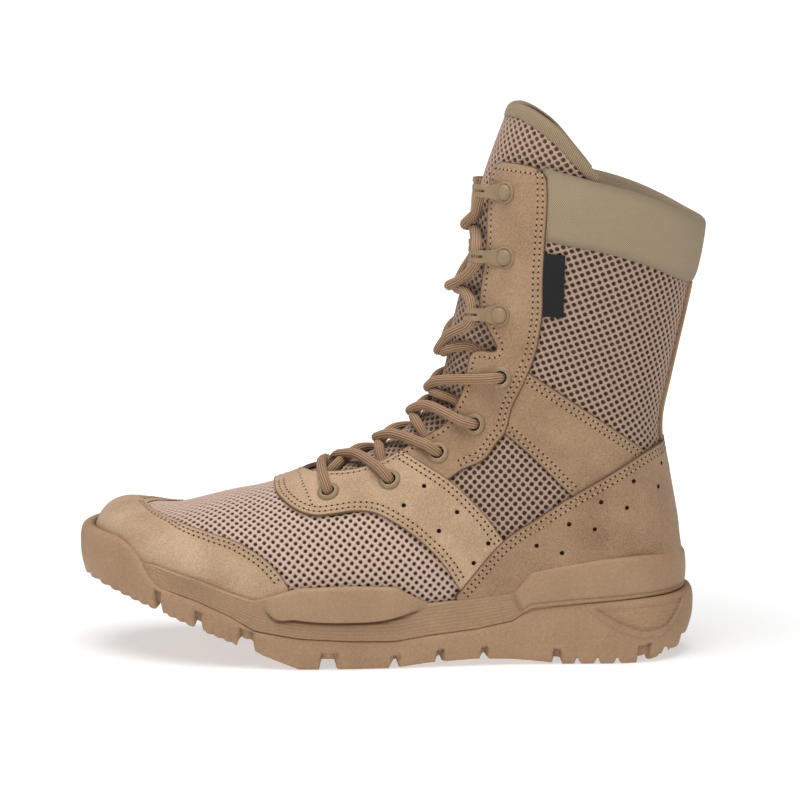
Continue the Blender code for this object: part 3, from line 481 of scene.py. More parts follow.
def collar_section(turn):
    return solve_section(turn, lambda p: p[..., 2] - collar_height(p[..., 0]), 12.0, TONGUE_ROW)


NOTCH_DEEP = 6.5
NOTCH_HALF = 0.4  # in sections
NOTCH_AT = 9.75


def throat_turn(s):
    half = np.where(s < THROAT_START, 0.0, smooth(THROAT["s"], THROAT["half"], s))
    half = half + NOTCH_DEEP * np.exp(-((s - NOTCH_AT) / NOTCH_HALF) ** 2)
    return half_to_turn(s, np.maximum(half, 0.0))


def throat_line(s_from, s_to):
    """The throat edge between two sections, as section and turn."""

    def line(a):
        s = s_from + (s_to - s_from) * a
        return s, throat_turn(s) + 0.004

    return line


def joined(first, second, cut):
    """Two edge lines end to end, the first up to a share of the whole."""

    def line(a):
        s_a, turn_a = first(np.clip(a / cut, 0.0, 1.0))
        s_b, turn_b = second(np.clip((a - cut) / (1.0 - cut), 0.0, 1.0))
        return np.where(a < cut, s_a, s_b), np.where(a < cut, turn_a, turn_b)

    return line


def between(first, second, side=-1.0, wrap=None, ease=1.3):
    """Corner function of a sheet between two edge lines, on one side or round the ridge or the back."""

    def place(u, v):
        ends = np.abs(2.0 * u - 1.0) ** ease
        share = {"ridge": ends, "back": 1.0 - ends}.get(wrap, u)
        s, turn = (a + (b - a) * v for a, b in zip(first(share), second(share)))
        if wrap == "ridge":
            return s, np.where(u < 0.5, -1.0, 1.0) * turn
        if wrap == "back":
            return s, -np.where(u < 0.5, turn, 2.0 * math.pi - turn)
        return s, side * turn

    return place


# Finishes: shared effects as node groups

def node_group(name, inputs, outputs):
    """An empty shader group with named sockets."""
    group = bpy.data.node_groups.new(name, "ShaderNodeTree")
    for socket, kind in inputs:
        group.interface.new_socket(socket, in_out="INPUT", socket_type=kind)
    for socket, kind in outputs:
        group.interface.new_socket(socket, in_out="OUTPUT", socket_type=kind)
    return group, group.nodes.new("NodeGroupInput"), group.nodes.new("NodeGroupOutput")


def add_node(tree, kind, values=None, **settings):
    """A node with its settings and socket values; a value that is a socket is linked."""
    node = tree.nodes.new(kind)
    for key, value in settings.items():
        setattr(node, key, value)
    for key, value in (values or {}).items():
        if isinstance(value, bpy.types.NodeSocket):
            tree.links.new(value, node.inputs[key])
        else:
            node.inputs[key].default_value = value
    return node


def mixed(tree, share, first, second):
    """Two colours mixed by a share."""
    return add_node(tree, "ShaderNodeMix", {0: share, 6: first, 7: second}, data_type="RGBA").outputs[2]


def grouped(tree, group, values):
    return add_node(tree, "ShaderNodeGroup", values, node_tree=group)


def sums(tree, kind, first, second):
    return add_node(tree, "ShaderNodeMath", {0: first, 1: second}, operation=kind).outputs[0]


def weighed(tree, first, first_weight, second, second_weight):
    """Two values added, each by its weight."""
    parts = (sums(tree, "MULTIPLY", first, first_weight), sums(tree, "MULTIPLY", second, second_weight))
    return sums(tree, "ADD", *parts)


def noise(tree, place, scale, detail, rough=0.5):
    values = {"Vector": place, "Scale": scale, "Detail": detail, "Roughness": rough}
    return add_node(tree, "ShaderNodeTexNoise", values).outputs["Fac"]


def stored_value(tree, name):
    """A value stored at the corners of the piece."""
    return add_node(tree, "ShaderNodeAttribute", attribute_name=name).outputs["Fac"]


def coordinates(tree, kind):
    return add_node(tree, "ShaderNodeTexCoord").outputs[kind]


FLOAT = "NodeSocketFloat"
COLOUR = "NodeSocketColor"
TWO_TONES = [("Light", COLOUR), ("Dark", COLOUR)]
GRAIN = [("Colour", COLOUR), ("Height", FLOAT)]


def make_fibre_group():
    """Fine nap with soft darker patches, on Object coordinates."""
    group, inputs, outputs = node_group(
        "fibre_nap", TWO_TONES + [("Fine Scale", FLOAT), ("Patch Scale", FLOAT)], GRAIN,
    )
    given = inputs.outputs
    place = coordinates(group, "Object")
    fine = noise(group, place, given["Fine Scale"], 3.0, 0.65)
    patch = noise(group, place, given["Patch Scale"], 2.0)
    blend = weighed(group, fine, 0.75, patch, 0.45)
    spread = {"Value": blend, "From Min": 0.42, "From Max": 0.8}
    share = add_node(group, "ShaderNodeMapRange", spread).outputs[0]
    group.links.new(mixed(group, share, given["Dark"], given["Light"]), outputs.inputs["Colour"])
    group.links.new(fine, outputs.inputs["Height"])
    return group


def make_twill_group():
    """Diagonal rib lines of a twill, on the cloth's own UV map."""
    group, inputs, outputs = node_group("twill_rib", TWO_TONES + [("Turn", FLOAT), ("Count", FLOAT)], GRAIN)
    given = inputs.outputs
    place = coordinates(group, "UV")
    turn = add_node(group, "ShaderNodeCombineXYZ", {"Z": given["Turn"]}).outputs[0]
    laid = add_node(group, "ShaderNodeMapping", {"Vector": place, "Rotation": turn}).outputs[0]
    rib = add_node(group, "ShaderNodeTexWave", {
        "Vector": laid, "Scale": given["Count"], "Distortion": 0.6, "Detail": 1.0,
    }, wave_type="BANDS", bands_direction="X").outputs["Fac"]
    height = weighed(group, rib, 0.8, noise(group, place, 22.0, 2.0), 0.3)
    group.links.new(mixed(group, height, given["Dark"], given["Light"]), outputs.inputs["Colour"])
    group.links.new(height, outputs.inputs["Height"])
    return group


def make_edge_and_gap_shade_group():
    """Darker edge of a cut panel, from its distance to the rim in mm: partly the raw edge's colour, partly
    painted shade of the gap at the edge.
    """
    group, inputs, outputs = node_group(
        "raw_edge_and_gap_shade", [("Colour", COLOUR), ("Edge", COLOUR), ("Width", FLOAT)], [("Colour", COLOUR)],
    )
    given = inputs.outputs
    spread = {"Value": stored_value(group, "rim"), "From Min": 0.0, "From Max": given["Width"]}
    share = add_node(group, "ShaderNodeMapRange", spread, interpolation_type="SMOOTHSTEP").outputs[0]
    group.links.new(mixed(group, share, given["Edge"], given["Colour"]), outputs.inputs["Colour"])
    return group


FIBRE = make_fibre_group()
TWILL = make_twill_group()
EDGE_AND_GAP_SHADE = make_edge_and_gap_shade_group()


def tone(red, green, blue):
    """Linear colour of a finish as it looks on screen."""
    parts = np.array([red, green, blue]) / 255.0
    parts = np.where(parts <= 0.04045, parts / 12.92, ((parts + 0.055) / 1.055) ** 2.4)
    return (*(float(part) for part in parts), 1.0)


def look(name, rough, sheen=0.0):
    """A material with its shader."""
    material = bpy.data.materials.new(name)
    material.use_nodes = True
    shader = material.node_tree.nodes["Principled BSDF"]
    shader.inputs["Roughness"].default_value = rough
    shader.inputs["Metallic"].default_value = 0.0
    shader.inputs["Sheen Weight"].default_value = sheen
    shader.inputs["Sheen Roughness"].default_value = 0.5
    shader.inputs["Specular IOR Level"].default_value = 0.3
    return material, material.node_tree, shader


def bumped(tree, shader, height, strength, distance):
    """Feeds a height to the shader's normal; distance in mm."""
    values = {"Height": height, "Strength": strength, "Distance": distance * MM}
    bump = add_node(tree, "ShaderNodeBump", values)
    tree.links.new(bump.outputs["Normal"], shader.inputs["Normal"])


EDGE_WIDTH = 0.9  # darker edge of a cut panel, raw edge colour and painted shade of the gap at the edge, mm


def fibre_look(name, light, dark, rough, fine, patch, strength=0.5, depth=0.4, edge=None, sheen=0.0,
               deep=None):
    """Suede, rubber, paint, linings: fine grain, soft patches, and if asked darker cut edges (raw edge colour
    and painted shade of the gap at the edge) and painted shade down in grooves.
    """
    material, tree, shader = look(name, rough, sheen)
    nap = grouped(tree, FIBRE, {"Light": light, "Dark": dark, "Fine Scale": fine, "Patch Scale": patch})
    colour = nap.outputs["Colour"]
    if edge:
        values = {"Colour": colour, "Edge": edge, "Width": EDGE_WIDTH}
        colour = grouped(tree, EDGE_AND_GAP_SHADE, values).outputs["Colour"]
    # deep: colour of the painted shade down in grooves, mixed in by the stored rise.
    if deep:
        colour = mixed(tree, stored_value(tree, "rise"), deep, colour)
    tree.links.new(colour, shader.inputs["Base Color"])
    bumped(tree, shader, nap.outputs["Height"], strength, depth)
    return material


def suede_look(name, light, dark, edge):
    return fibre_look(name, light, dark, 0.95, 1300.0, 45.0, 0.7, 0.45, edge, 0.15)


def twill_look(name, light, dark, turn, count, strength=0.6, depth=0.3):
    """Woven cloth with rib lines along its own map."""
    material, tree, shader = look(name, 0.85, 0.1)
    weave = grouped(tree, TWILL, {"Light": light, "Dark": dark, "Turn": turn, "Count": count})
    tree.links.new(weave.outputs["Colour"], shader.inputs["Base Color"])
    bumped(tree, shader, weave.outputs["Height"], strength, depth)
    return material


def knit_look(name, light, dark):
    """Knitted yarn, and the lace cord: light on the crown of each bar or rib, with painted shade darkening it
    down in the holes and grooves.
    """
    material, tree, shader = look(name, 0.9, 0.1)
    shade = tuple(0.8 * part for part in light[:3]) + (1.0,)
    nap = grouped(tree, FIBRE, {"Light": light, "Dark": shade, "Fine Scale": 2600.0, "Patch Scale": 700.0})
    colour = mixed(tree, stored_value(tree, "rise"), dark, nap.outputs["Colour"])
    tree.links.new(colour, shader.inputs["Base Color"])
    bumped(tree, shader, nap.outputs["Height"], 0.5, 0.3)
    return material


TAN = tone(184, 152, 121)
TAN_DARK = tone(140, 110, 83)
# Third tone of a suede: its darker cut edge, partly the raw edge's colour, partly painted shade of the gap at
# the edge.
SUEDE = suede_look("suede", TAN, TAN_DARK, tone(88, 62, 43))
# suede_painted_lit: a lighter copy of the suede for the toe cap and saddle, which face the light more:
# painted light.
SUEDE_LIT = suede_look("suede_painted_lit", tone(211, 180, 149), tone(167, 136, 106), tone(112, 84, 62))
BACKSTAY_SUEDE = suede_look("backstay_suede", TAN, TAN_DARK, None)
# The second tone of each knit and of the lace cord is painted shade, mixed in down in the holes and grooves.
KNIT = knit_look("knit", tone(192, 164, 145), tone(98, 70, 53))
# knit_painted_lit: a lighter copy of the knit for the vamp, which faces the light: painted light.
KNIT_LIT = knit_look("knit_painted_lit", tone(224, 196, 177), tone(122, 92, 74))
BACKING_LOOK = fibre_look("backing", tone(108, 80, 61), tone(80, 57, 43), 0.95, 1800.0, 300.0)
TONGUE_BACK = fibre_look("tongue_back", tone(112, 86, 66), tone(84, 62, 46), 0.95, 1800.0, 300.0)
LINING = fibre_look("lining", tone(150, 126, 100), tone(112, 90, 70), 0.95, 1200.0, 300.0)
CUFF_CLOTH = twill_look("cuff_twill", tone(194, 173, 143), tone(122, 104, 79), 0.75, 5.2, 0.8, 0.4)
BINDING_CLOTH = twill_look("binding_rib", tone(172, 150, 120), tone(104, 86, 64), 0.0, 3.4)
TAB_CLOTH = twill_look("tab_webbing", tone(40, 39, 39), tone(10, 10, 10), 0.6, 3.6)
# deep: painted shade down in the tread's channels and the grooves of the sole's walls.
OUTSOLE_RUBBER = fibre_look(
    "outsole_rubber", tone(184, 150, 118), tone(160, 127, 98), 0.65, 900.0, 40.0, 0.25, 0.2,
    deep=tone(76, 54, 38),
)
MIDSOLE_RUBBER = fibre_look(
    "midsole_rubber", tone(180, 148, 116), tone(160, 129, 99), 0.55, 900.0, 40.0, 0.2, 0.2,
    deep=tone(92, 66, 47),
)
PAINT = fibre_look("khaki_paint", tone(162, 139, 110), tone(138, 116, 88), 0.4, 1800.0, 200.0, 0.15, 0.1)
# Lighter rim of the eyelets: partly paint worn bare, partly a painted highlight.
RIM_WEAR_AND_HIGHLIGHT = fibre_look("worn_rim_and_painted_highlight", tone(206, 186, 156), tone(170, 148, 118), 0.3, 1800.0, 200.0, 0.1, 0.1)
# Lace cord: painted highlight along its ribs, painted shade in the grooves between them.
LACE_CORD = knit_look("lace_cord", tone(198, 162, 128), tone(118, 86, 62))
THREAD = fibre_look("thread", tone(204, 174, 142), tone(172, 142, 112), 0.8, 3000.0, 300.0)
# Dark brown of the needle holes and the perforations: painted shade.
HOLE_SHADE = fibre_look("hole_painted_shade", tone(66, 44, 30), tone(46, 30, 20), 0.95, 2000.0, 300.0)
PALE_THREAD = fibre_look("pale_thread", tone(226, 204, 180), tone(200, 176, 150), 0.8, 3000.0, 300.0)
INSOLE_CLOTH = fibre_look("insole_cloth", tone(96, 78, 62), tone(66, 52, 42), 0.95, 1200.0, 200.0)


# Making pieces

def into_mesh(name, bm):
    """A mesh in metres about the boot's middle from a bmesh in mm, which is used up."""
    bmesh.ops.translate(bm, vec=MIDDLE, verts=bm.verts)
    bmesh.ops.scale(bm, vec=(MM, MM, MM), verts=bm.verts)
    mesh = bpy.data.meshes.new(name)
    bm.to_mesh(mesh)
    bm.free()
    return mesh


def add_piece(name, bm, materials, nodes):
    """A piece of the boot from a bmesh in mm: placed, named for what it replaces, riding on the boot."""
    bmesh.ops.recalc_face_normals(bm, faces=bm.faces)
    mesh = into_mesh(name, bm)
    mesh.shade_smooth()
    piece = into_scene(name, mesh)
    for material in materials:
        mesh.materials.append(material)
    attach(piece, "root")
    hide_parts(*nodes)
    return piece


def finish_edges(piece, width, segments=3, angle=50.0):
    """Rounds the piece's sharp edges; width in mm."""
    bevel = piece.modifiers.new("rounded_edges", "BEVEL")
    bevel.width = width * MM
    bevel.segments = segments
    bevel.limit_method = "ANGLE"
    bevel.angle_limit = math.radians(angle)
    bevel.use_clamp_overlap = True


def unit_grid(bm, columns, rows):
    """Corners of a new grid, with their shares of its length and its width."""
    made = bmesh.ops.create_grid(bm, x_segments=columns, y_segments=rows, size=1.0)["verts"]
    u = np.array([0.5 * (corner.co.x + 1.0) for corner in made])
    v = np.array([0.5 * (corner.co.y + 1.0) for corner in made])
    return made, u, v


def move_to(corners, points):
    for corner, point in zip(corners, points):
        corner.co = Vector(point)


def close_up(bm, near):
    """Joins corners that meet and fills the ends that are still open."""
    bmesh.ops.remove_doubles(bm, verts=bm.verts, dist=near)
    bmesh.ops.holes_fill(bm, edges=[e for e in bm.edges if e.is_boundary], sides=0)


LAYERS = ("s", "turn", "u", "v", "rim")


def grid_into(bm, columns, rows, place):
    """A grid on the upper: place(u, v), u and v from 0 to 1, gives the section and turn of a corner."""
    store = bm.verts.layers.float
    layers = [store.get(name) or store.new(name) for name in LAYERS]
    made, u, v = unit_grid(bm, columns, rows)
    s, turn = place(u, v)
    move_to(made, skin(s, turn))
    for corner, *values in zip(made, s, turn, u, v):
        for layer, value in zip(layers, values):
            corner[layer] = value


def stored(bm, corners):
    """Section, turn, u and v stored at corners of grids on the upper."""
    layers = [bm.verts.layers.float[name] for name in LAYERS[:4]]
    return [np.array([corner[layer] for corner in corners]) for layer in layers]


RIM_STEPS = 5  # points measured along each edge of a rim


def mark_rim(bm):
    """Stores each corner's distance to the open rim of the sheet, in mm."""
    rim = [e for e in bm.edges if e.is_boundary]
    tree = KDTree(RIM_STEPS * len(rim))
    for k, e in enumerate(rim):
        for j in range(RIM_STEPS):
            tree.insert(e.verts[0].co.lerp(e.verts[1].co, j / RIM_STEPS), RIM_STEPS * k + j)
    tree.balance()
    layer = bm.verts.layers.float["rim"]
    for corner in bm.verts:
        corner[layer] = tree.find(corner.co)[2]


def thicken(bm, inner, outer):
    """Turns the grids on the upper into one closed sheet between two distances from its face."""
    bmesh.ops.remove_doubles(bm, verts=bm.verts, dist=0.02)
    mark_rim(bm)
    old, inside = list(bm.verts), list(bm.faces)
    made = bmesh.ops.extrude_face_region(bm, geom=inside, use_keep_orig=True)["geom"]
    new = [g for g in made if isinstance(g, bmesh.types.BMVert)]
    for corners, distance in ((old, inner), (new, outer)):
        s, turn, u, v = stored(bm, corners)
        move_to(corners, shell(s, turn, distance(u, v) + 0.0 * s))
    return inside


def lay_map(bm, across, along):
    """UV map of a sheet in cm, from its u and v and its two lengths in mm."""
    u, v = (bm.verts.layers.float[n] for n in ("u", "v"))
    layer = bm.loops.layers.uv.new("cloth")
    for face in bm.faces:
        for loop in face.loops:
            loop[layer].uv = (0.1 * across * loop.vert[u], 0.1 * along * loop.vert[v])


def flat(distance):
    return lambda u, v: distance


def panel(name, material, nodes, place, columns, rows, face, cloth=None, low=UNDER, roll=0.55):
    """A curved sheet on the upper with rounded edges."""
    bm = bmesh.new()
    grid_into(bm, columns, rows, place)
    thicken(bm, flat(low), face if callable(face) else flat(face))
    if cloth:
        lay_map(bm, *cloth)
    piece = add_piece(name, bm, [material], nodes)
    finish_edges(piece, roll)
    return piece


def cut_with(piece, cutter):
    """Takes a cutter's volume out of a piece; the cutter is used up."""
    cut = piece.modifiers.new("cut", "BOOLEAN")
    cut.operation = "DIFFERENCE"
    cut.solver = "EXACT"
    cut.object = cutter
    mesh = bpy.data.meshes.new_from_object(piece.evaluated_get(bpy.context.evaluated_depsgraph_get()))
    piece.modifiers.clear()
    piece.data = mesh
    bpy.data.objects.remove(cutter, do_unlink=True)


def facing(spot, ahead, normal):
    """Matrix of a spot: its x axis points ahead, its z axis along a normal."""
    ahead = (ahead - normal * ahead.dot(normal)).normalized()
    spin = Matrix((ahead, normal.cross(ahead), normal)).transposed().to_4x4()
    spin.translation = spot
    return spin


def frame_on_side(x, z, side, out=0.0, level_ahead=False):
    """Matrix of a spot on the upper: its x axis points to the throat, its z axis outwards."""
    s, turn = on_side(np.array(x), np.array(z))
    spot = Vector(shell(s, side * turn, np.array(out)))
    normal = Vector(skin_normal(s, side * turn))
    ahead = Vector(skin(s, side * (turn - 0.1))) - Vector(skin(s, side * turn))
    if level_ahead:
        ahead = normal.cross(Vector((0.0, 0.0, 1.0)))
        ahead = ahead if ahead.x < 0.0 else -ahead
    return facing(spot, ahead, normal)


# Perforations of the saddle and the counter, seen from the side
SADDLE_HOLES = [(14.9, 85.5), (30.4, 73.9), (45.2, 59.4), (5.1, 76.7), (21.7, 65.4), (38.2, 50.2)]
COUNTER_HOLES = [
    (127.4, 94.4), (114.2, 88), (99.1, 78.9), (84, 68.3), (68.4, 58.1), (125.9, 83.9), (111.3, 75.5),
    (96.2, 65.6), (80.6, 54.5),
]
HOLE_RADIUS = 1.05
EYELET_HOLE = 3.7


def round_cutter(spots):
    """Joined cylinders that cut round holes: spots of x, z, side and radius."""
    bm = bmesh.new()
    for x, z, side, radius in spots:
        bmesh.ops.create_cone(
            bm, cap_ends=True, segments=20, radius1=radius, radius2=radius, depth=9.0,
            matrix=frame_on_side(x, z, side),
        )
    return into_scene("cutter", into_mesh("cutter", bm))


def holes(spots, radius, sides=BOTH):
    return [(x, z, side, radius) for side in sides for x, z in spots]


EYELET_SPOTS = list(zip(EYELETS["x"], EYELETS["z"]))


# Upper: backing and lining, then the suede overlays

LINING_ROWS = table("u s", [
    (0.0, 0.0), (0.17, 1.0), (0.42, 3.7), (0.52, 5.0), (0.72, 8.0), (0.86, 12.0), (1.0, 12.0),
])
LINING_RISE = 0.86  # share of the rows from which they turn up to the collar
LINING_BELOW = 0.25  # the lining ends this far below the collar, in sections


def build_lining():
    bm = bmesh.new()
    for side in BOTH:

        def place(u, v):
            s = start = straight(LINING_ROWS["u"], LINING_ROWS["s"], u)
            rise = np.clip((u - LINING_RISE) / (1.0 - LINING_RISE), 0.0, 1.0)
            share = np.where(start > HEEL_ROW - 0.5, v ** 1.4, v)
            for _ in range(4):
                limit = turn_limit(s)
                turn = limit + (throat_turn(s) - limit) * share
                s = start + (collar_section(turn) - LINING_BELOW - start) * rise
            return s, side * turn

        grid_into(bm, 100, 40, place)
    for face in thicken(bm, flat(-WALL), flat(BACKING)):
        face.material_index = 1
    add_piece("upper_lining", bm, [BACKING_LOOK, LINING], ["upper"])


def sole_line(xs, above):
    """Line near the sole's rim and the toe bumper, as points seen from the side."""
    return {"x": xs, "z": np.maximum(level("rim", xs), bumper_height(xs)) + above}


BUMPER = table("x z", [
    (-145.2, 61.5), (-143.5, 61.2), (-139, 60.6), (-132, 59.6), (-128, 58.0), (-124, 55.0), (-120.5, 51.0),
    (-118.5, 47.8), (-116, 44.0), (-111.3, 38.3), (-99, 34.0), (-94, 32.5),
])


def bumper_height(x):
    """Top edge of the outsole's toe bumper, falling to the parting line behind it."""
    bumper = straight(BUMPER["x"], BUMPER["z"], x)
    return np.where(np.asarray(x) > BUMPER["x"][-1], level("parting", x), bumper)


TOE_X = np.concatenate([[-144.85, -144.4, -143.4, -142.0], np.linspace(-140.0, -54.0, 28)])
TOE_LOW = line_on_side(sole_line(TOE_X, -4.0), straight)
TOE_HIGH = line_on_side(TOE_CAP_BACK)
SADDLE_FROM = line_on_side(SADDLE_LOW)
SADDLE_END = line_on_side(SADDLE_HIGH)
COUNTER_X = np.append(np.linspace(33.0, 136.5, 30), HEEL_BACK + 1.0)
COUNTER_FROM = line_on_side(sole_line(COUNTER_X, -5.0), straight)
COUNTER_TOP = line_on_side(finer(COUNTER_HIGH), straight)
STRAP_TOP = line_on_side(STRAP_HIGH)
STRAP_BOTTOM = line_on_side(STRAP_LOW)
EYESTAY_END = line_on_side(EYESTAY_BACK)


def section_at(x, z):
    return float(on_side(np.array(x), np.array(z))[0])


SADDLE_THROAT = throat_line(THROAT_START - 0.08, section_at(4.8, 100.6))
EYESTAY_THROAT = throat_line(float(collar_section(np.array(-0.55))) - 0.09, section_at(1.5, 99.0))


def round_top(place):
    """A panel whose first end is rounded at its two corners."""

    def rounded_place(u, v):
        drop = 0.025 * np.abs(2.0 * v - 1.0) ** 5
        return place(u + (1.0 - u) * drop, v)

    return rounded_place


TOE_CAP_TUCK = 1.3  # the toe cap is this much thinner at the middle of its back edge
SADDLE_SPLIT = 0.48  # share of the saddle's upper edge that runs along the throat
TAB_FACE = 1.7
TAB_UNDER = 0.6
TAB_SIZE = (31.0, 12.0)


def toe_cap_face(u, v):
    return TOE_CAP_FACE - TOE_CAP_TUCK * ramp(0.9, 1.0, v) * ramp(-0.3, -0.12, -np.abs(u - 0.5))


def backstay_line():
    """Corner function of the narrow strip down the back."""
    sections_at = solve_section(np.full(3, math.pi), lambda p: p[..., 2] - BACKSTAY["z"], 8.0, COLLAR_ROW)
    turns = math.pi - half_to_turn(sections_at, BACKSTAY["half"])
    shares = np.array([0.0, 0.4, 1.0])

    def place(u, v):
        turn = smooth(shares, turns, u)
        return smooth(shares, sections_at, u), -turn - (2.0 * math.pi - 2.0 * turn) * v

    return place


def overlay(node, material, place, columns, rows, face):
    """A suede panel, named for the solid that it replaces."""
    return panel(node + "_suede", material, [node], place, columns, rows, face)


def build_overlays():
    # The toe cap and saddle take the lighter suede copy: painted light.
    overlay("toe_cap", SUEDE_LIT, between(TOE_LOW, TOE_HIGH, wrap="ridge"), 130, 26, toe_cap_face)
    saddle_high = joined(SADDLE_THROAT, SADDLE_END, SADDLE_SPLIT)
    saddle_place = between(SADDLE_FROM, saddle_high, wrap="ridge")
    saddle = overlay("saddle", SUEDE_LIT, saddle_place, 150, 24, SADDLE_FACE)
    cut_with(saddle, round_cutter(holes(EYELET_SPOTS[:3], EYELET_HOLE) + holes(SADDLE_HOLES, HOLE_RADIUS)))
    counter_place = between(COUNTER_FROM, COUNTER_TOP, wrap="back")
    counter = overlay("counter", SUEDE, counter_place, 160, 28, COUNTER_FACE)
    cut_with(counter, round_cutter(holes(COUNTER_HOLES, HOLE_RADIUS)))
    for side, name in SIDES:
        stay_place = round_top(between(EYESTAY_THROAT, EYESTAY_END, side))
        stay = overlay("eyestay_" + name, SUEDE, stay_place, 110, 22, EYESTAY_FACE)
        cut_with(stay, round_cutter(holes(EYELET_SPOTS, EYELET_HOLE, (side,))))
        overlay("strap_" + name, SUEDE, between(STRAP_TOP, STRAP_BOTTOM, side), 50, 24, STRAP_FACE)
    overlay("backstay", BACKSTAY_SUEDE, backstay_line(), 46, 14, BACKSTAY_FACE)
    tab = between(line_on_side(TAB_FRONT), line_on_side(TAB_BACK))
    panel("side_tab_webbing", TAB_CLOTH, ["side_tab"], tab, 30, 12, TAB_FACE, TAB_SIZE, TAB_UNDER, 0.3)


# Padded collar and tongue

CUFF_SECTION = table("v out", [
    (0.0, 0.2), (0.0, 0.9), (0.03, 1.7), (0.1, 2.6), (0.25, 3.3), (0.5, 3.6), (0.75, 3.4), (0.9, 2.9),
    (0.97, 2.2), (1.005, 1.0), (1.015, -0.6), (1.005, -2.0), (0.97, -3.1), (0.9, -3.5), (0.7, -3.5),
    (0.5, -3.1), (0.45, -2.2), (0.3, -1.5), (0.0, 0.2),
])


def loft(name, material, nodes, place, section, columns, around, cloth, scale=None, swell=None):
    """A closed form drawn along the upper: a section of shares and distances, carried along u."""
    bm = bmesh.new()
    steps = np.linspace(0.0, 1.0, len(section["v"]))
    grid_into(bm, columns, around, lambda u, w: place(u, smooth(steps, section["v"], w)))
    corners = list(bm.verts)
    s, turn, u, w = stored(bm, corners)
    out = smooth(steps, section["out"], w)
    if scale:
        out = out * scale(u)
    if swell:
        out = out + swell(s, turn)
    move_to(corners, shell(s, turn, out))
    lay_map(bm, *cloth)
    close_up(bm, 0.01)
    piece = add_piece(name, bm, [material], nodes)


CUFF_DROP = 4.0  # of the cuff's top edge below the collar line
CUFF_SIZE = (250.0, 90.0)
CUFF_TUCK = 0.35  # share of its thickness that the cuff keeps at its ends
TUCK_FROM = 0.022
TUCK_TO = 0.08


def cuff_tuck(u):
    ends = ramp(TUCK_FROM, TUCK_TO, u) * ramp(TUCK_FROM, TUCK_TO, 1.0 - u)
    return CUFF_TUCK + (1.0 - CUFF_TUCK) * ends


def build_cuff():
    top_x = np.array([71.5, 84, 96, 108, 120, 132, 142, 149.8])
    top = line_on_side({"x": top_x, "z": collar_height(top_x) - CUFF_DROP})
    place = between(line_on_side(CUFF_LOW), top, wrap="back")
    loft("cuff_pad", CUFF_CLOTH, ["cuff"], place, CUFF_SECTION, 120, 48, CUFF_SIZE, cuff_tuck)


TONGUE_FACE = -(WALL + TONGUE_PLAY)
TONGUE_TOP_S, TONGUE_TOP_TURN = on_side(TONGUE_TOP["x"], TONGUE_TOP["z"])


def tongue_place(u, v):
    """Section and turn of the tongue: u from its root to its top edge, v across."""
    start = TONGUE_SPREAD["s"][0]
    share = 2.0 * v - 1.0
    s = start + u * (COLLAR_ROW - start)
    for _ in range(30):
        turn = share * np.radians(smooth(TONGUE_SPREAD["s"], TONGUE_SPREAD["turn"], s))
        reach = smooth(TONGUE_TOP_TURN, TONGUE_TOP_S, np.abs(turn)) - start
        s = 0.6 * s + 0.4 * (start + u * reach)
    return s, turn


ROOT_SWELL = 2.2
TONGUE_LEAN = 3.2


def tongue_swell(s, turn):
    """How far the tongue bulges up into the front end of the throat and leans ahead towards its top."""
    root = ROOT_SWELL * np.exp(-((s - 3.9) / 0.25) ** 2 - (turn / 0.5) ** 2)
    return root + TONGUE_LEAN * ramp(11.0, 13.0, s) * np.exp(-(turn / 0.8) ** 2)


BINDING_SECTION = table("v out", [
    (0.9885, -5.0), (0.988, -3.4), (0.9895, -2.9), (0.994, -2.7), (0.9985, -2.9), (1.0015, -3.8),
    (1.0025, -5.6), (1.0015, -7.4), (0.9985, -8.4), (0.994, -8.6), (0.9895, -8.3), (0.988, -7.4),
    (0.9885, -5.0),
])


BINDING_SIZE = (150.0, 22.0)
PAD_BELOW = 0.4  # of the tongue's pad below its knit


def tongue_pad_face(u, v):
    return TONGUE_FACE - PAD_BELOW + tongue_swell(*tongue_place(u, v))


def build_tongue():
    body = panel("tongue_pad", TONGUE_BACK, ["tongue"], tongue_place, 90, 44, tongue_pad_face,
                 low=TONGUE_FACE - TONGUE_THICK, roll=1.2)
    loft("tongue_binding", BINDING_CLOTH, ["tongue"], lambda u, v: tongue_place(v, u),
         BINDING_SECTION, 110, 40, BINDING_SIZE, swell=tongue_swell)


# Knit: a net of crowned bars laid out on the flat pattern of each panel

STITCH_WIDE = 4.57  # spacing of the holes along a row
STITCH_HIGH = 2.1  # spacing of the rows
BAR_HALF = 0.35
VAMP_BAR_HALF = 0.5
BAR_DROP = 0.3  # from the crown of a bar to its edge
HOLE_LIP = 0.16
HOLE_DROP = 0.75  # from the edge of a bar down into the hole
DARKEST = 0.8  # depth at which the painted shade of the yarn, down in the holes, is darkest


def flat_pattern(points):
    """Lays a curved grid of points flat with little stretch, by easing the lengths of its links."""
    row, column = points.shape[0] // 2, points.shape[1] // 2
    flat_points = np.zeros(points.shape[:2] + (2,))
    flat_points[:, 1:, 0] = np.cumsum(np.linalg.norm(np.diff(points, axis=1), axis=2), axis=1)
    flat_points[..., 0] -= flat_points[:, column:column + 1, 0]
    flat_points[1:, :, 1] = np.cumsum(np.linalg.norm(np.diff(points, axis=0), axis=2), axis=0)
    flat_points[..., 1] -= flat_points[row:row + 1, :, 1]
    cuts = [
        ((slice(None), slice(None, -1)), (slice(None), slice(1, None))),
        ((slice(None, -1), slice(None)), (slice(1, None), slice(None))),
        ((slice(None, -1), slice(None, -1)), (slice(1, None), slice(1, None))),
        ((slice(None, -1), slice(1, None)), (slice(1, None), slice(None, -1))),
    ]
    rests = [np.linalg.norm(points[b] - points[a], axis=2) for a, b in cuts]
    for _ in range(3000):
        push = np.zeros(flat_points.shape)
        for (a, b), rest in zip(cuts, rests):
            link = flat_points[b] - flat_points[a]
            length = np.maximum(np.linalg.norm(link, axis=2), 1e-9)
            move = (0.5 * (length - rest) / length)[..., None] * link
            push[a] += move
            push[b] -= move
        flat_points += 0.3 * push
    return flat_points


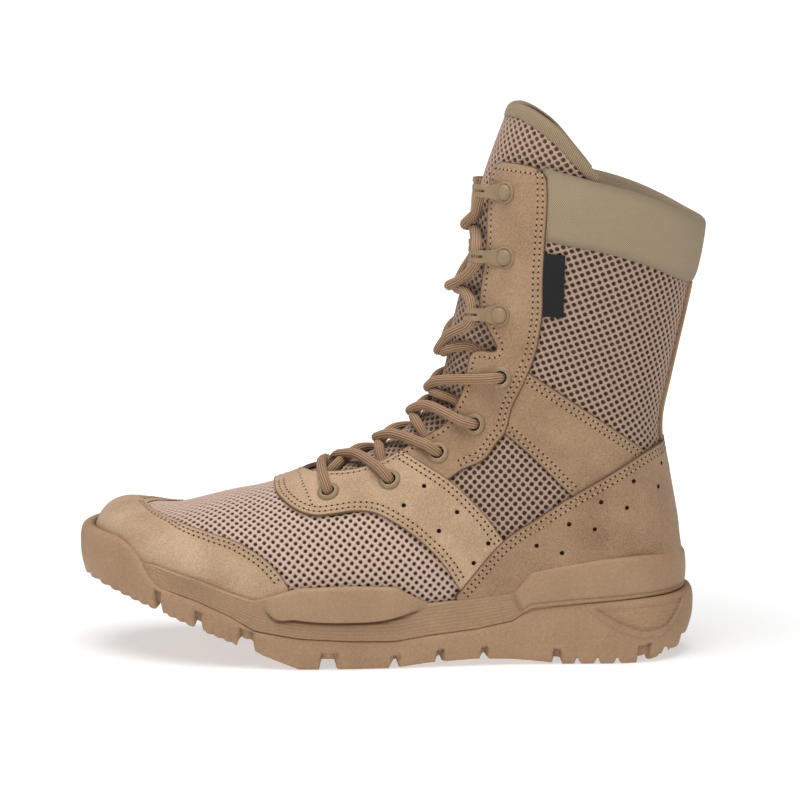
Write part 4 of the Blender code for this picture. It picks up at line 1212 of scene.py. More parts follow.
def knit_panel(name, material, nodes, place, columns, rows, face, tilt, half=BAR_HALF, keep=None, swell=None):
    """A net over one panel: face is its distance from the upper's face, tilt turns its rows."""
    v, u = np.meshgrid(np.linspace(0.0, 1.0, rows), np.linspace(0.0, 1.0, columns), indexing="ij")
    s, turn = place(u, v)
    points = shell(s, turn, np.full(s.shape, face))
    pattern = flat_pattern(points)
    centre = pattern[rows // 2, columns // 2]
    run = pattern[rows // 2, columns // 2 + 1] - pattern[rows // 2, columns // 2 - 1]
    spin = math.atan2(run[1], run[0]) + tilt
    where = [Vector((*p, 0.0)) for p in pattern.reshape(-1, 2)]
    what = [Vector((a, b, 0.0)) for a, b in zip(s.ravel(), turn.ravel())]
    triangles = []
    for j in range(rows - 1):
        for k in range(columns - 1):
            a = j * columns + k
            triangles += [(a, a + 1, a + columns + 1), (a, a + columns + 1, a + columns)]
    tree = BVHTree.FromPolygons(where, triangles)

    def spot(x, y):
        """Section and turn at a point of the flat pattern, if it lies on the panel."""
        hit = tree.ray_cast(Vector((x, y, 1.0)), Vector((0.0, 0.0, -1.0)))
        if hit[2] is None:
            return None
        corners = triangles[hit[2]]
        return barycentric_transform(hit[0], *(where[c] for c in corners), *(what[c] for c in corners))

    reach = np.abs(pattern.reshape(-1, 2) - centre).max(axis=0)
    count = int(np.hypot(*reach) * (1.0 / STITCH_WIDE + 0.5 / STITCH_HIGH)) + 4
    bm = bmesh.new()
    bmesh.ops.create_grid(bm, x_segments=2 * count, y_segments=2 * count, size=1.0)
    cos, sin = math.cos(spin), math.sin(spin)
    outside = []
    for corner in bm.verts:
        i, j = corner.co.x * count, corner.co.y * count
        x, y = (i + j) * 0.5 * STITCH_WIDE, (i - j) * STITCH_HIGH
        corner.co = Vector((centre[0] + cos * x - sin * y, centre[1] + sin * x + cos * y, 0.0))
        here = spot(corner.co.x, corner.co.y)
        if here is None or (keep and not keep(here[0], here[1])):
            outside.append(corner)
    bmesh.ops.delete(bm, geom=outside, context="VERTS")
    bmesh.ops.recalc_face_normals(bm, faces=bm.faces)
    if sum(f.normal.z for f in bm.faces) < 0.0:
        bmesh.ops.reverse_faces(bm, faces=bm.faces)
    cells = list(bm.faces)
    bmesh.ops.inset_individual(bm, faces=cells, thickness=half, depth=-BAR_DROP, use_even_offset=True)
    bmesh.ops.inset_individual(bm, faces=cells, thickness=HOLE_LIP, depth=-HOLE_DROP, use_even_offset=True)
    bmesh.ops.delete(bm, geom=cells, context="FACES")
    loose = [corner for corner in bm.verts if not corner.link_faces]
    bmesh.ops.delete(bm, geom=loose, context="VERTS")
    rise = bm.verts.layers.float.new("rise")
    corners, found, lost = [], [], []
    for corner in bm.verts:
        here = spot(corner.co.x, corner.co.y)
        if here is None:
            lost.append(corner)
            continue
        # Painted shade: the yarn darkens with depth down into the holes.
        corner[rise] = max(0.0, 1.0 + corner.co.z / DARKEST)
        corners.append(corner)
        found.append((here[0], here[1], face + KNIT_CROWN + corner.co.z))
    s, turn, out = np.array(found).T
    if swell:
        out = out + swell(s, turn)
    move_to(corners, shell(s, turn, out))
    bmesh.ops.delete(bm, geom=lost, context="VERTS")
    smoother = add_piece(name, bm, [material], nodes).modifiers.new("smoother", "SUBSURF")
    smoother.levels = 1
    smoother.render_levels = 1


def stretched(place, u_more, v_more):
    """A panel's corner function reaching a share beyond its edges."""
    return lambda u, v: place(u + u_more * (2.0 * u - 1.0), v + v_more * (2.0 * v - 1.0))


def build_knit():
    toe_s, toe_turn = on_side(TOE_CAP_BACK["x"], TOE_CAP_BACK["z"])
    saddle_s, saddle_turn = on_side(SADDLE_LOW["x"], SADDLE_LOW["z"])
    toe_share = toe_turn / turn_limit(toe_s)
    saddle_share = saddle_turn / turn_limit(saddle_s)

    def vamp(u, v):
        s = 0.5 + 4.9 * v
        return s, (2.0 * u - 1.0) * 0.99 * turn_limit(s)

    def shows(s, turn):
        share = abs(turn) / float(turn_limit(np.array(s)))
        low, high = np.interp(share, toe_share, toe_s), np.interp(share, saddle_share, saddle_s)
        return low - 0.3 < s < high + 0.35

    # The vamp takes the lighter knit copy: painted light.
    knit_panel("vamp_knit", KNIT_LIT, ["upper"], vamp, 61, 41, 0.0, 0.1, VAMP_BAR_HALF, shows)
    shaft = between(line_on_side(SHAFT_LOW), line_on_side(SHAFT_HIGH), wrap="back", ease=1.0)
    knit_panel("shaft_knit", KNIT, ["upper"], stretched(shaft, 0.0, 0.05), 61, 25, 0.0, -0.12)
    for side, name in SIDES:
        window = stretched(between(SADDLE_END, STRAP_BOTTOM, side), 0.12, 0.2)
        knit_panel(f"window_{name}_knit", KNIT, ["upper"], window, 25, 25, 0.0, 0.8 * side)

    def tongue(u, v):
        return tongue_place(0.998 * v, 0.005 + 0.99 * u)

    knit_panel("tongue_knit", KNIT, ["tongue"], tongue, 31, 61, TONGUE_FACE, 0.0, swell=tongue_swell)


# Sole

EDGE = table("x midsole outsole bulge", [
    (-145, 0.3, 8.6, 0.0),
    (-143.5, 0.3, 8.5, 0.0),
    (-139, 0.3, 8.0, 0.0),
    (-132, 0.5, 7.0, 0.0),
    (-122, 3.6, 6.0, 0.0),
    (-113, 5.0, 5.9, 0.2),
    (-66, 4.8, 5.6, 0.6),
    (-45, 4.6, 5.6, 2.3),
    (0, 4.4, 5.4, 2.3),
    (16, 4.2, 5.2, 0.2),
    (57, 4.0, 5.0, 0.2),
    (66, 4.2, 5.4, 2.1),
    (100, 4.2, 6.4, 2.3),
    (125, 4.2, 8.4, 2.1),
    (137.3, 4.2, 9.4, 1.2),
])
LUG_ROWS = [
    (-150, -112.0), (-110.0, -94.0), (-91.2, -73.5), (-66, -35), (-27.5, -1.4), (1.6, 20.4), (22.8, 42.0),
    (44.4, 76.5), (80.5, 87.5), (89.5, 97.0), (99.0, 106.0), (108.0, 116.0), (120.0, 126.5), (128.5, 133.5),
]
POD_LOW = table("x z", [(-62, 31.0), (-59.2, 27.2), (-45.5, 24.2), (-23.6, 22.8), (-1.7, 24.2), (15.3, 29.6)])
CLIP_FRONT = table("z x", [(24.0, 64.0), (30.0, 60.0), (36.0, 58.5), (41.0, 60.5), (46.0, 66.0)])
SIDE_COLUMNS = 360
MIDSOLE_RIBS = 9
RIB_DEPTH = 0.26
GROOVE_DEEP = 1.5  # depth below the faces beside it at which the painted shade in a groove is darkest
NICK_PITCH = 4.4  # small notches along the lower edge of the toe and the heel
CENTRE_SHIFT = 10.0  # the middle lugs stand this far ahead of the outer ones


def edge(name, x):
    return straight(EDGE["x"], EDGE[name], x)


def seat_points(phase):
    """Seat line of the upper and its outward direction, seen from above; phase runs once round it."""
    reach = 0.5 * (HEEL_BACK - TOE_TIP)

    def at(p):
        p = p % (2.0 * math.pi)
        x = TOE_TIP + reach * (1.0 - np.cos(p))
        side = np.where(p <= math.pi, -1.0, 1.0)
        return np.stack([x, plan_centre(x) + side * plan_half(x)], axis=-1)

    step = 0.02
    run = unit(at(phase + step) - at(phase - step))
    return at(phase), np.stack([run[..., 1], -run[..., 0]], axis=-1)


def faces_of(mesh):
    """Faces of a mesh, in mm, for measuring."""
    corners = [corner.co / MM - Vector(MIDDLE) for corner in mesh.vertices]
    return BVHTree.FromPolygons(corners, [tuple(face.vertices) for face in mesh.polygons])


def clearance(tree, base, outward, z):
    """How far the upper stands out from the seat line at height z."""
    reach = 30.0
    start = Vector((*(base + reach * outward), z))
    hit = tree.ray_cast(start, Vector((*(-outward), 0.0)), 2.0 * reach)
    return reach - hit[3] if hit[3] is not None else 0.0


def wall_points(profile, phase, t):
    """Points of a wall round the sole and their distances out.

    profile(x, base, outward, t) gives the distance out and the height of a row t.
    """
    base, outward = seat_points(phase)
    out, z = profile(base[:, 0], base, outward, t)
    spot = base + out[:, None] * outward
    z = z + level("seat", spot[:, 0]) - level("seat", base[:, 0])
    return np.concatenate([spot, z[:, None]], axis=1), out


def side_wall(bm, rows, profile):
    """A wall all round the sole."""
    rise = bm.verts.layers.float.new("rise")
    made, u, t = unit_grid(bm, 2 * SIDE_COLUMNS, rows)
    phase = 2.0 * math.pi * u
    points, out = wall_points(profile, phase, t)
    move_to(made, points)
    # Painted shade: the rubber darkens down in the wall's grooves.
    for corner, high in zip(made, above_grooves(phase, t, out, rows)):
        corner[rise] = high


def above_grooves(phase, t, out, rows):
    """1 on the faces of a wall, falling to 0 down in its grooves, where the rubber takes painted shade."""
    place = (np.rint(t * rows).astype(int), np.rint(phase / math.pi * SIDE_COLUMNS).astype(int))
    wall = np.zeros((rows + 1, 2 * SIDE_COLUMNS + 1))
    wall[place] = out
    deep = np.zeros(wall.shape)
    for axis, reach in ((0, 4), (1, 2)):
        edges = [(reach, reach) if k == axis else (0, 0) for k in range(2)]
        wide = np.pad(wall, edges, mode="edge")
        parts = [np.take(wide, range(k, k + wall.shape[axis]), axis) for k in range(2 * reach + 1)]
        deep = np.maximum(deep, np.mean(parts, axis=0) - wall)
    return np.clip(1.0 - deep[place] / GROOVE_DEEP, 0.0, 1.0)


def off_bands(x, bands, soft):
    """0 on bands from low to high, 1 between them."""
    on = np.zeros(np.shape(x))
    for low, high in bands:
        on = np.maximum(on, ramp(low - soft, low + soft, x) * ramp(-high - soft, -high + soft, -x))
    return 1.0 - on


def lug_gap(x):
    """1 in the channels between the rows of lugs, 0 on the lugs."""
    return off_bands(x, LUG_ROWS, 0.5)


def wave(x, pitch):
    return 0.5 + 0.5 * np.cos(2.0 * math.pi * x / pitch)


OUT_PROFILE = table("t out", [
    (0.0, -2.4), (0.15, -1.4), (0.35, -0.4), (0.62, 0.0), (0.86, -0.3), (0.95, -0.9), (1.0, -1.8),
])
SIDE_SLOTS = [  # slots above the channels: place along the sole, half width, height
    (-111, 1.3, 10.0), (-92.5, 1.5, 9.0), (-69.5, 3.4, 9.5), (-31, 3.6, 8.0), (0.5, 1.6, 6.0), (22, 1.4, 6.0),
    (43.5, 1.4, 6.0), (78.5, 1.8, 7.0), (118.5, 2.4, 8.0),
]
LUG_COLUMNS = [(-1.0, -0.42), (-0.30, 0.30), (0.42, 1.0)]  # the three lugs of a row, shares of half width
SMILE = table("x z", [  # lower edge of the sunken field on the heel
    (92, 31.0), (96, 26.5), (103, 21.5), (110.3, 17.6), (122.5, 13.9), (134.6, 18.0), (140, 27.0), (143, 33),
])
OUTSOLE_ROWS = 60
OUTER_ROWS = 0.8  # share of the rows on the outer wall
TOP_ROWS = 0.06  # share of the rows over the top edge
BUMPER_END = -112.0
BUMPER_OVERLAP = 1.3  # the bumper's inside reaches this far into the toe cap
SLOT_DEPTH = 1.8
NICK_HIGH = 0.6
NICK_DEPTH = 0.7
NICK_FADE = 2.6
SMILE_DEPTH = 0.6
SMILE_RIB = 0.2
SMILE_PITCH = 1.7
SMILE_LIP = 0.8
HATCH_DEPTH = 0.12
HATCH_PITCH = 3.7


def lug_column_gap(share):
    """1 in the channels along the sole, 0 on the lugs."""
    return np.where(np.abs(share) > 0.9, 0.0, off_bands(share, LUG_COLUMNS, 0.02))


def heel_details(x, z, up):
    """How far the sunken field, its lip and the hatching stand out from the heel's wall."""
    smile = smooth(SMILE["x"], SMILE["z"], x)
    inside = ramp(94.0, 97.0, x) * ramp(-0.5, 0.8, z - smile - 1.0) * ramp(-0.94, -0.86, -up)
    lip = ramp(93.0, 97.0, x) * np.exp(-((z - smile) / 1.1) ** 2)
    hatch = ramp(66.0, 70.0, x) * ramp(-94.0, -90.0, -x) * ramp(0.3, 0.4, up) * ramp(-0.92, -0.84, -up)
    sunk = inside * (SMILE_DEPTH + SMILE_RIB * wave(z, SMILE_PITCH))
    return SMILE_LIP * lip - sunk - HATCH_DEPTH * hatch * wave(x, HATCH_PITCH)


def outsole_inside(tree, x, base, outward, t, out):
    """Distance out and height of the outsole's rows over its top edge and down its inside."""
    top = bumper_height(x)
    seat = level("seat", x) + 0.8
    bumper = x < BUMPER_END
    foot = edge("midsole", x) - 1.6
    walls = []
    for height in (top, 0.5 * (top + seat), seat):
        reach = np.zeros(x.shape)
        for k in np.flatnonzero(bumper & (t > OUTER_ROWS)):
            reach[k] = clearance(tree, base[k], outward[k], height[k]) + BUMPER_OVERLAP
        walls.append(np.where(bumper, reach, foot))
    over = np.clip((t - OUTER_ROWS) / TOP_ROWS, 0.0, 1.0)
    down = np.clip((t - OUTER_ROWS - TOP_ROWS) / (1.0 - OUTER_ROWS - TOP_ROWS), 0.0, 1.0)
    drop = top - (top - level("parting", x)) * down
    part = np.clip((top - drop) / np.maximum(top - seat, 0.5), 0.0, 1.0)
    inner = np.where(part < 0.5, walls[0] + (walls[1] - walls[0]) * 2.0 * part,
                     walls[1] + (walls[2] - walls[1]) * (2.0 * part - 1.0))
    inner = np.minimum(inner, out - 0.2)
    return out + (inner - out) * over, drop + 0.5 * np.sin(math.pi * over) * bumper


def build_outsole(tree):
    def profile(x, base, outward, t):
        zone = np.maximum(ramp(60.0, 66.0, -x), ramp(121.0, 125.0, x))
        nick = zone * (1.0 - wave(x, NICK_PITCH)) ** 2
        low = level("ground", x) + level("lug", x) * lug_gap(x) + NICK_HIGH * nick
        up = np.clip(t / OUTER_ROWS, 0.0, 1.0)
        z = low + (bumper_height(x) - low) * up
        out = edge("outsole", x) + smooth(OUT_PROFILE["t"], OUT_PROFILE["out"], up)
        above = z - level("ground", x)
        for at, half, tall in SIDE_SLOTS:
            across = ramp(-half - 0.7, -half + 0.3, -np.abs(x - at))
            out = out - SLOT_DEPTH * across * ramp(-tall - 0.8, -tall + 0.4, -above)
        out = out - NICK_DEPTH * nick * np.exp(-(z - low) / NICK_FADE)
        out = out + heel_details(x + edge("outsole", x) * outward[:, 0], z, up)
        inner = outsole_inside(tree, x, base, outward, t, out)
        return tuple(np.where(t > OUTER_ROWS, b, a) for a, b in zip((out, z), inner))

    bm = bmesh.new()
    side_wall(bm, OUTSOLE_ROWS, profile)
    tread(bm, profile)
    close_up(bm, 0.004)
    add_piece("outsole_rubber", bm, [OUTSOLE_RUBBER], ["outsole"])


SIPE_DEPTH = 0.9  # fine cuts across the lugs
SIPE_PITCH = 8.0


def tread(bm, profile, across=48):
    """The underside: rows of lugs with channels between them, meeting the side wall's lowest row."""
    made, u, v = unit_grid(bm, SIDE_COLUMNS, across)
    phase = math.pi * u
    share = 2.0 * v - 1.0
    other = 2.0 * math.pi - phase
    near, far = (wall_points(profile, turned, np.zeros(phase.shape))[0] for turned in (phase, other))
    place = near * (1.0 - v)[:, None] + far * v[:, None]
    x = seat_points(other)[0][:, 0]
    depth = level("lug", x)
    middle = ramp(-0.42, -0.30, -np.abs(share))
    columns = lug_column_gap(share)
    gap = lug_gap(x) + middle * (lug_gap(x + CENTRE_SHIFT) - lug_gap(x))
    sipe = (1.0 - gap) * (1.0 - columns) * (np.abs(share) < 0.86)
    cuts = ramp(0.72, 0.9, np.sin(2.0 * math.pi * (x + 14.0 * np.abs(share)) / SIPE_PITCH))
    place[:, 2] += depth * (gap - lug_gap(x)) + depth * (1.0 - gap) * columns + SIPE_DEPTH * sipe * cuts
    move_to(made, place)
    rise = bm.verts.layers.float["rise"]
    # Painted shade: the rubber darkens down in the channels between the lugs.
    for corner, deep in zip(made, np.maximum(gap, columns)):
        corner[rise] = 1.0 - 0.5 * deep


MIDSOLE_ROWS = 56
MIDSOLE_WALL = 0.9  # share of the rows on the outer wall
FORM_LIFT = 0.4  # the pads and the heel clip stand out by this and their bulge
POD_GROOVE = 1.0
CLIP_GROOVE = 0.6
RIM_ROLL = 0.9
RIM_TUCK = 2.5  # how far the inner edge of the rim turns down


def build_midsole(tree):
    def profile(x, base, outward, t):
        low = level("parting", x) + 0.2
        rim = np.maximum(level("rim", x), level("seat", x))
        z = low + (rim - low) * np.clip(t / MIDSOLE_WALL, 0.0, 1.0)
        share = (z - low) / np.maximum(level("seat", x) + 4.0 - low, 1.0)
        pod_low = smooth(POD_LOW["x"], POD_LOW["z"], x)
        pod = ramp(-62.5, -56.0, x) * ramp(-16.0, -6.0, -x) * ramp(-0.4, 1.0, z - pod_low)
        clip = ramp(-1.2, 1.6, x - smooth(CLIP_FRONT["z"], CLIP_FRONT["x"], z))
        form = np.maximum(pod, clip)
        out = edge("midsole", x) - RIB_DEPTH * wave(MIDSOLE_RIBS * share, 1.0) * (1.0 - form)
        crown = np.sin(math.pi * np.clip((z - low) / np.maximum(rim - low, 1.0), 0.0, 1.0)) ** 0.5
        out = out + form * (edge("bulge", x) * crown + FORM_LIFT)
        under = ramp(-62.5, -57.0, x) * ramp(-16.0, -8.0, -x) * np.exp(-((z - pod_low + 0.7) / 0.6) ** 2)
        out = out - POD_GROOVE * under - CLIP_GROOVE * clip * np.exp(-((z - low - 2.4) / 0.5) ** 2)
        out = out - RIM_ROLL * np.clip((t - 0.84) / 0.06, 0.0, 1.0) ** 2
        inner = [clearance(tree, b, o, h) for b, o, h in zip(base, outward, np.maximum(rim - 0.2, 0.0))]
        inner = np.minimum(np.array(inner) + 0.8, out - 0.5)
        over = np.clip((t - MIDSOLE_WALL) / (1.0 - MIDSOLE_WALL), 0.0, 1.0)
        return out + (inner - out) * over, z - RIM_TUCK * ramp(0.94, 1.0, t)

    bm = bmesh.new()
    side_wall(bm, MIDSOLE_ROWS, profile)
    close_up(bm, 0.005)
    add_piece("midsole_rubber", bm, [MIDSOLE_RUBBER], ["midsole"])


# Lacing

EYELET_RING = [
    (3.15, -2.6), (3.15, 0.5), (3.3, 0.95), (3.7, 1.25), (4.3, 1.2), (4.9, 0.85), (5.35, 0.35), (5.45, -0.2),
    (3.65, -0.2), (3.65, -2.6),
]
RIVET = [
    (0.0, 2.7), (1.6, 2.6), (2.8, 2.3), (3.5, 1.8), (3.8, 1.2), (3.9, 0.6), (4.2, 0.6), (4.4, 1.1),
    (5.0, 0.9), (5.3, 0.3), (5.3, -0.2), (0.0, -0.2),
]
HOOK_PATH = table("t ahead up half", [
    (0.0, 1.0, 0.9, 4.5), (0.1, 3.6, 1.0, 4.2), (0.2, 5.8, 1.6, 3.5), (0.3, 7.6, 3.1, 3.1),
    (0.38, 9.2, 4.4, 3.0), (0.55, 12.6, 4.8, 3.1), (0.68, 15.4, 4.6, 3.1),
    (0.76, 16.8, 3.8, 3.1), (0.82, 17.1, 2.5, 3.1), (0.88, 16.6, 1.2, 3.0), (1.0, 13.6, 0.5, 2.9),
])
LACE_RIBS = 12
CROSSINGS = (0.38, 0.12, 0.07, -0.18, -0.57, -0.3, -0.02)  # where the strands cross, shares of the way up
STRAND_UP = (0.5, 0.45, 0.45, 0.22, 0.15, 0.15, 0.32)  # the same for a strand's highest bend


def lathe_into(bm, profile, steps, matrix):
    """Turns a closed profile of radius and height about the matrix's z axis."""
    corners = [bm.verts.new((r, 0.0, h)) for r, h in profile]
    edges = [bm.edges.new((a, b)) for a, b in zip(corners, corners[1:] + corners[:1])]
    before = set(bm.verts) - set(corners)
    bmesh.ops.spin(
        bm, geom=corners + edges, axis=(0, 0, 1), cent=(0, 0, 0), angle=2.0 * math.pi, steps=steps,
        use_merge=True,
    )
    made = [corner for corner in bm.verts if corner not in before]
    bmesh.ops.transform(bm, matrix=matrix, verts=made)


def eyelet_frame(k, side):
    face = SADDLE_FACE if k < 2 else EYESTAY_FACE
    return frame_on_side(EYELETS["x"][k], EYELETS["z"][k], side, face)


def hook_frame(k, side):
    return frame_on_side(HOOKS["x"][k], HOOKS["z"][k], side, EYESTAY_FACE, True)


RIM_WEAR_AND_HIGHLIGHT_REACH = 3.75  # faces nearer than this to the middle of an eyelet take the lighter rim colour: partly paint worn bare, partly a painted highlight
HOOK_THICK = 0.95


def build_eyelets():
    for side, name in SIDES:
        bm = bmesh.new()
        frames = [eyelet_frame(k, side) for k in range(len(EYELETS["x"]))]
        for spin in frames:
            lathe_into(bm, EYELET_RING, 36, spin)
        bmesh.ops.remove_doubles(bm, verts=bm.verts, dist=0.005)
        for face in bm.faces:
            here = face.calc_center_median()
            near = min((here - spin.translation).length for spin in frames)
            face.material_index = 1 if near < RIM_WEAR_AND_HIGHLIGHT_REACH else 0
        nodes = [f"eyelet_{name}_{k + 1}" for k in range(len(frames))]
        add_piece(f"eyelets_{name}_rings", bm, [PAINT, RIM_WEAR_AND_HIGHLIGHT], nodes)


def build_hook(node, place):
    bm = bmesh.new()
    unit_grid(bm, 40, 5)
    middles = [(face, face.calc_center_median()) for face in bm.faces]
    slot = [face for face, at in middles if abs(at.y) < 0.1 and abs(at.x - 0.2) < 0.4]
    bmesh.ops.delete(bm, geom=slot, context="FACES")
    for corner in bm.verts:
        t = 0.5 * (corner.co.x + 1.0)
        keys = ("ahead", "up", "half")
        ahead, up, half = (float(smooth(HOOK_PATH["t"], HOOK_PATH[key], t)) for key in keys)
        corner.co = Vector((ahead, corner.co.y * half, up))
    bmesh.ops.recalc_face_normals(bm, faces=bm.faces)
    bmesh.ops.solidify(bm, geom=list(bm.faces), thickness=HOOK_THICK)
    bmesh.ops.transform(bm, matrix=place, verts=bm.verts)
    lathe_into(bm, RIVET, 36, place)
    bmesh.ops.remove_doubles(bm, verts=bm.verts, dist=0.004)
    finish_edges(add_piece(node + "_metal", bm, [PAINT], [node]), 0.3, 2, 40.0)


def build_hooks():
    for side, name in SIDES:
        for k in range(len(HOOKS["x"])):
            build_hook(f"hook_{name}_{k + 1}", hook_frame(k, side))


def over_throat(s, share, out):
    """Point over the throat: share -1 and 1 are its lateral and medial edge."""
    return Vector(shell(np.array(s), share * throat_turn(np.array(s)), np.array(out)))


# Heights of the lace's middle line above the upper's face
LACE_BAR = 1.2
LACE_OVER = 1.2  # where a strand crosses over the other
LACE_OVER_HOOKS = 2.6
LACE_UNDER = -1.4
LACE_INSIDE = -4.0  # just behind an eyelet
EYELET_WAY = ((7.0, 3.4), (3.4, 3.1), (0.9, 1.0))  # into an eyelet: reach along the strand, height
EYELET_OUT = ((0.2, 0.0, -2.0), (2.6, 0.0, -5.6))
HOOK_WAY = ((15.4, -5.0, 1.8), (13.8, 0.0, 2.0), (14.4, 6.0, 2.2))  # round a hook
HOOK_END = (13.4, 2.4, 2.0)  # the lace's end at the top hook


def lace_half(side):
    """Points of one half of the lace, from the middle of the bar at the first eyelets to the top hook."""
    spots = [*EYELET_SPOTS, *zip(HOOKS["x"], HOOKS["z"])]
    sections_at = [section_at(x, z) for x, z in spots]
    last_eyelet = len(EYELET_SPOTS) - 1
    last = len(spots) - 1
    points = [over_throat(sections_at[0], 0.5 * side, LACE_BAR)]
    for k, here in enumerate(sections_at):
        if k <= last_eyelet:
            spot = eyelet_frame(k, side)
            ahead = (spot.inverted() @ points[-1]).xy.normalized()
            steps = [(*(reach * ahead), up) for reach, up in EYELET_WAY] + list(EYELET_OUT)
        else:
            spot = hook_frame(k - last_eyelet - 1, side)
            way = HOOK_WAY if k < last else HOOK_WAY[:2] + (HOOK_END,)
            steps = [(ahead, across * side, up) for ahead, across, up in way]
        points += [spot @ Vector(step) for step in steps]
        if k == last:
            break
        rise = sections_at[k + 1] - here
        over = side > 0.0
        cross = CROSSINGS[k]
        if k <= last_eyelet:
            points.append(over_throat(here, 0.9 * side, LACE_INSIDE))
        points.append(over_throat(here + 0.6 * cross * rise, 0.5 * side, 0.8 if over else -0.8))
        loop = LACE_OVER if k <= last_eyelet else LACE_OVER_HOOKS
        points.append(over_throat(here + cross * rise, 0.0, loop if over else LACE_UNDER))
        bend = here + (STRAND_UP[k] + 0.4 * cross) * rise
        points.append(over_throat(bend, -0.5 * side, 1.4 if over else 0.8))
        side = -side
    return points


def curve_through(points, spacing):
    """Evenly spaced points of a smooth curve through a list of points."""
    knots = np.array([points[0]] + list(points) + [points[-1]])
    f = np.linspace(0.0, 1.0, 20, endpoint=False)[:, None]
    pieces = []
    for a, b, c, d in zip(knots, knots[1:], knots[2:], knots[3:]):
        pieces.append(0.5 * (2 * b + (c - a) * f + (2 * a - 5 * b + 4 * c - d) * f ** 2
                             + (3 * b - a - 3 * c + d) * f ** 3))
    line = np.concatenate(pieces + [knots[-1:]])
    lengths = run_lengths(line)
    return at_lengths(line, lengths, np.linspace(0.0, lengths[-1], int(lengths[-1] / spacing)))


def build_lace():
    path = curve_through(lace_half(1.0)[::-1] + lace_half(-1.0), 1.5)
    run = unit(np.gradient(path, axis=0))
    side = np.zeros(path.shape)
    lean = np.cross(run[0], (0.0, 0.0, 1.0))
    for k, ahead in enumerate(run):
        lean = lean - ahead * lean.dot(ahead)
        lean = lean / np.linalg.norm(lean)
        side[k] = lean
    up = np.cross(run, side)
    bm = bmesh.new()
    rise = bm.verts.layers.float.new("rise")
    made, u, v = unit_grid(bm, len(path) - 1, 4 * LACE_RIBS)
    along = np.rint(u * (len(path) - 1)).astype(int)
    angle = 2.0 * math.pi * v
    rib = np.cos(LACE_RIBS * angle)
    radius = LACE_RADIUS * (0.95 + 0.09 * rib)
    around = np.cos(angle)[:, None] * side[along] + np.sin(angle)[:, None] * up[along]
    move_to(made, path[along] + radius[:, None] * around)
    # Painted highlight along each rib, painted shade between the ribs.
    for corner, height in zip(made, rib):
        corner[rise] = 0.5 + 0.5 * height
    close_up(bm, 0.003)
    add_piece("lace_cord", bm, [LACE_CORD], [f"lace_{k}" for k in range(1, 9)])


# Stitching: rows of thread with a needle hole, a dark dot of painted shade, at each end of a stitch

STITCH = 2.8  # from needle hole to needle hole


def stitch_row(tree, line, inset, side, start=0.0, end=1.0, hand=1.0):
    """Frames along a line set in from an edge, on a piece: one at each needle hole and each stitch."""
    s, turn = line(np.linspace(start, end, 400))
    points = skin(s, side * turn)
    normals = skin_normal(s, side * turn)
    run = unit(np.gradient(points, axis=0))
    points = points + inset * hand * side * np.cross(normals, run) + 4.0 * normals
    lengths = run_lengths(points)
    count = max(int(lengths[-1] / STITCH), 2)
    at = at_lengths(points, lengths, np.linspace(0.0, lengths[-1], 2 * count + 1))
    frames = []
    for k, point in enumerate(at):
        spot, normal = tree.find_nearest(Vector(point))[:2]
        ahead = Vector(at[min(k + 1, len(at) - 1)] - at[max(k - 1, 0)])
        frames.append(facing(spot, ahead, normal))
    return frames[::2], frames[1::2]


def scatter(name, template, frames, material):
    """Joined copies of a small shape at many frames."""
    shape = np.array([corner.co for corner in template.verts])
    faces = np.array([[corner.index for corner in face.verts] for face in template.faces])
    spots = np.array([[list(row) for row in spin] for spin in frames])
    corners = np.einsum("nij,vj->nvi", spots[:, :3, :3], shape) + spots[:, None, :3, 3]
    corners = (corners.reshape(-1, 3) + np.array(MIDDLE)) * MM
    index = (faces[None] + len(shape) * np.arange(len(frames))[:, None, None]).reshape(-1, faces.shape[1])
    mesh = bpy.data.meshes.new(name)
    mesh.from_pydata(corners.tolist(), [], index.tolist())
    mesh.shade_smooth()
    mesh.materials.append(material)
    piece = into_scene(name, mesh)
    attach(piece, "root")


SADDLE_SEAM = table("x z", [(-46.5, 88.5), (-42.0, 81.5), (-38.5, 75.5)])


def stay_top(a):
    """Line just below the top edge of an eyestay, as section and turn."""
    s, turn = between(EYESTAY_THROAT, EYESTAY_END)(np.full(a.shape, 0.018), 0.12 + 0.72 * a)
    return s, np.abs(turn)


def cone_shape(segments, low, high, depth):
    """A small flat cone in triangles."""
    bm = bmesh.new()
    bmesh.ops.create_cone(
        bm, cap_ends=True, cap_tris=True, segments=segments, radius1=low, radius2=high, depth=depth,
    )
    bmesh.ops.triangulate(bm, faces=bm.faces)
    return bm


def thread_shape():
    bm = bmesh.new()
    bmesh.ops.create_uvsphere(bm, u_segments=8, v_segments=4, radius=1.0)
    bmesh.ops.triangulate(bm, faces=bm.faces)
    bmesh.ops.scale(bm, vec=(1.0, 0.4, 0.32), verts=bm.verts)
    return bm


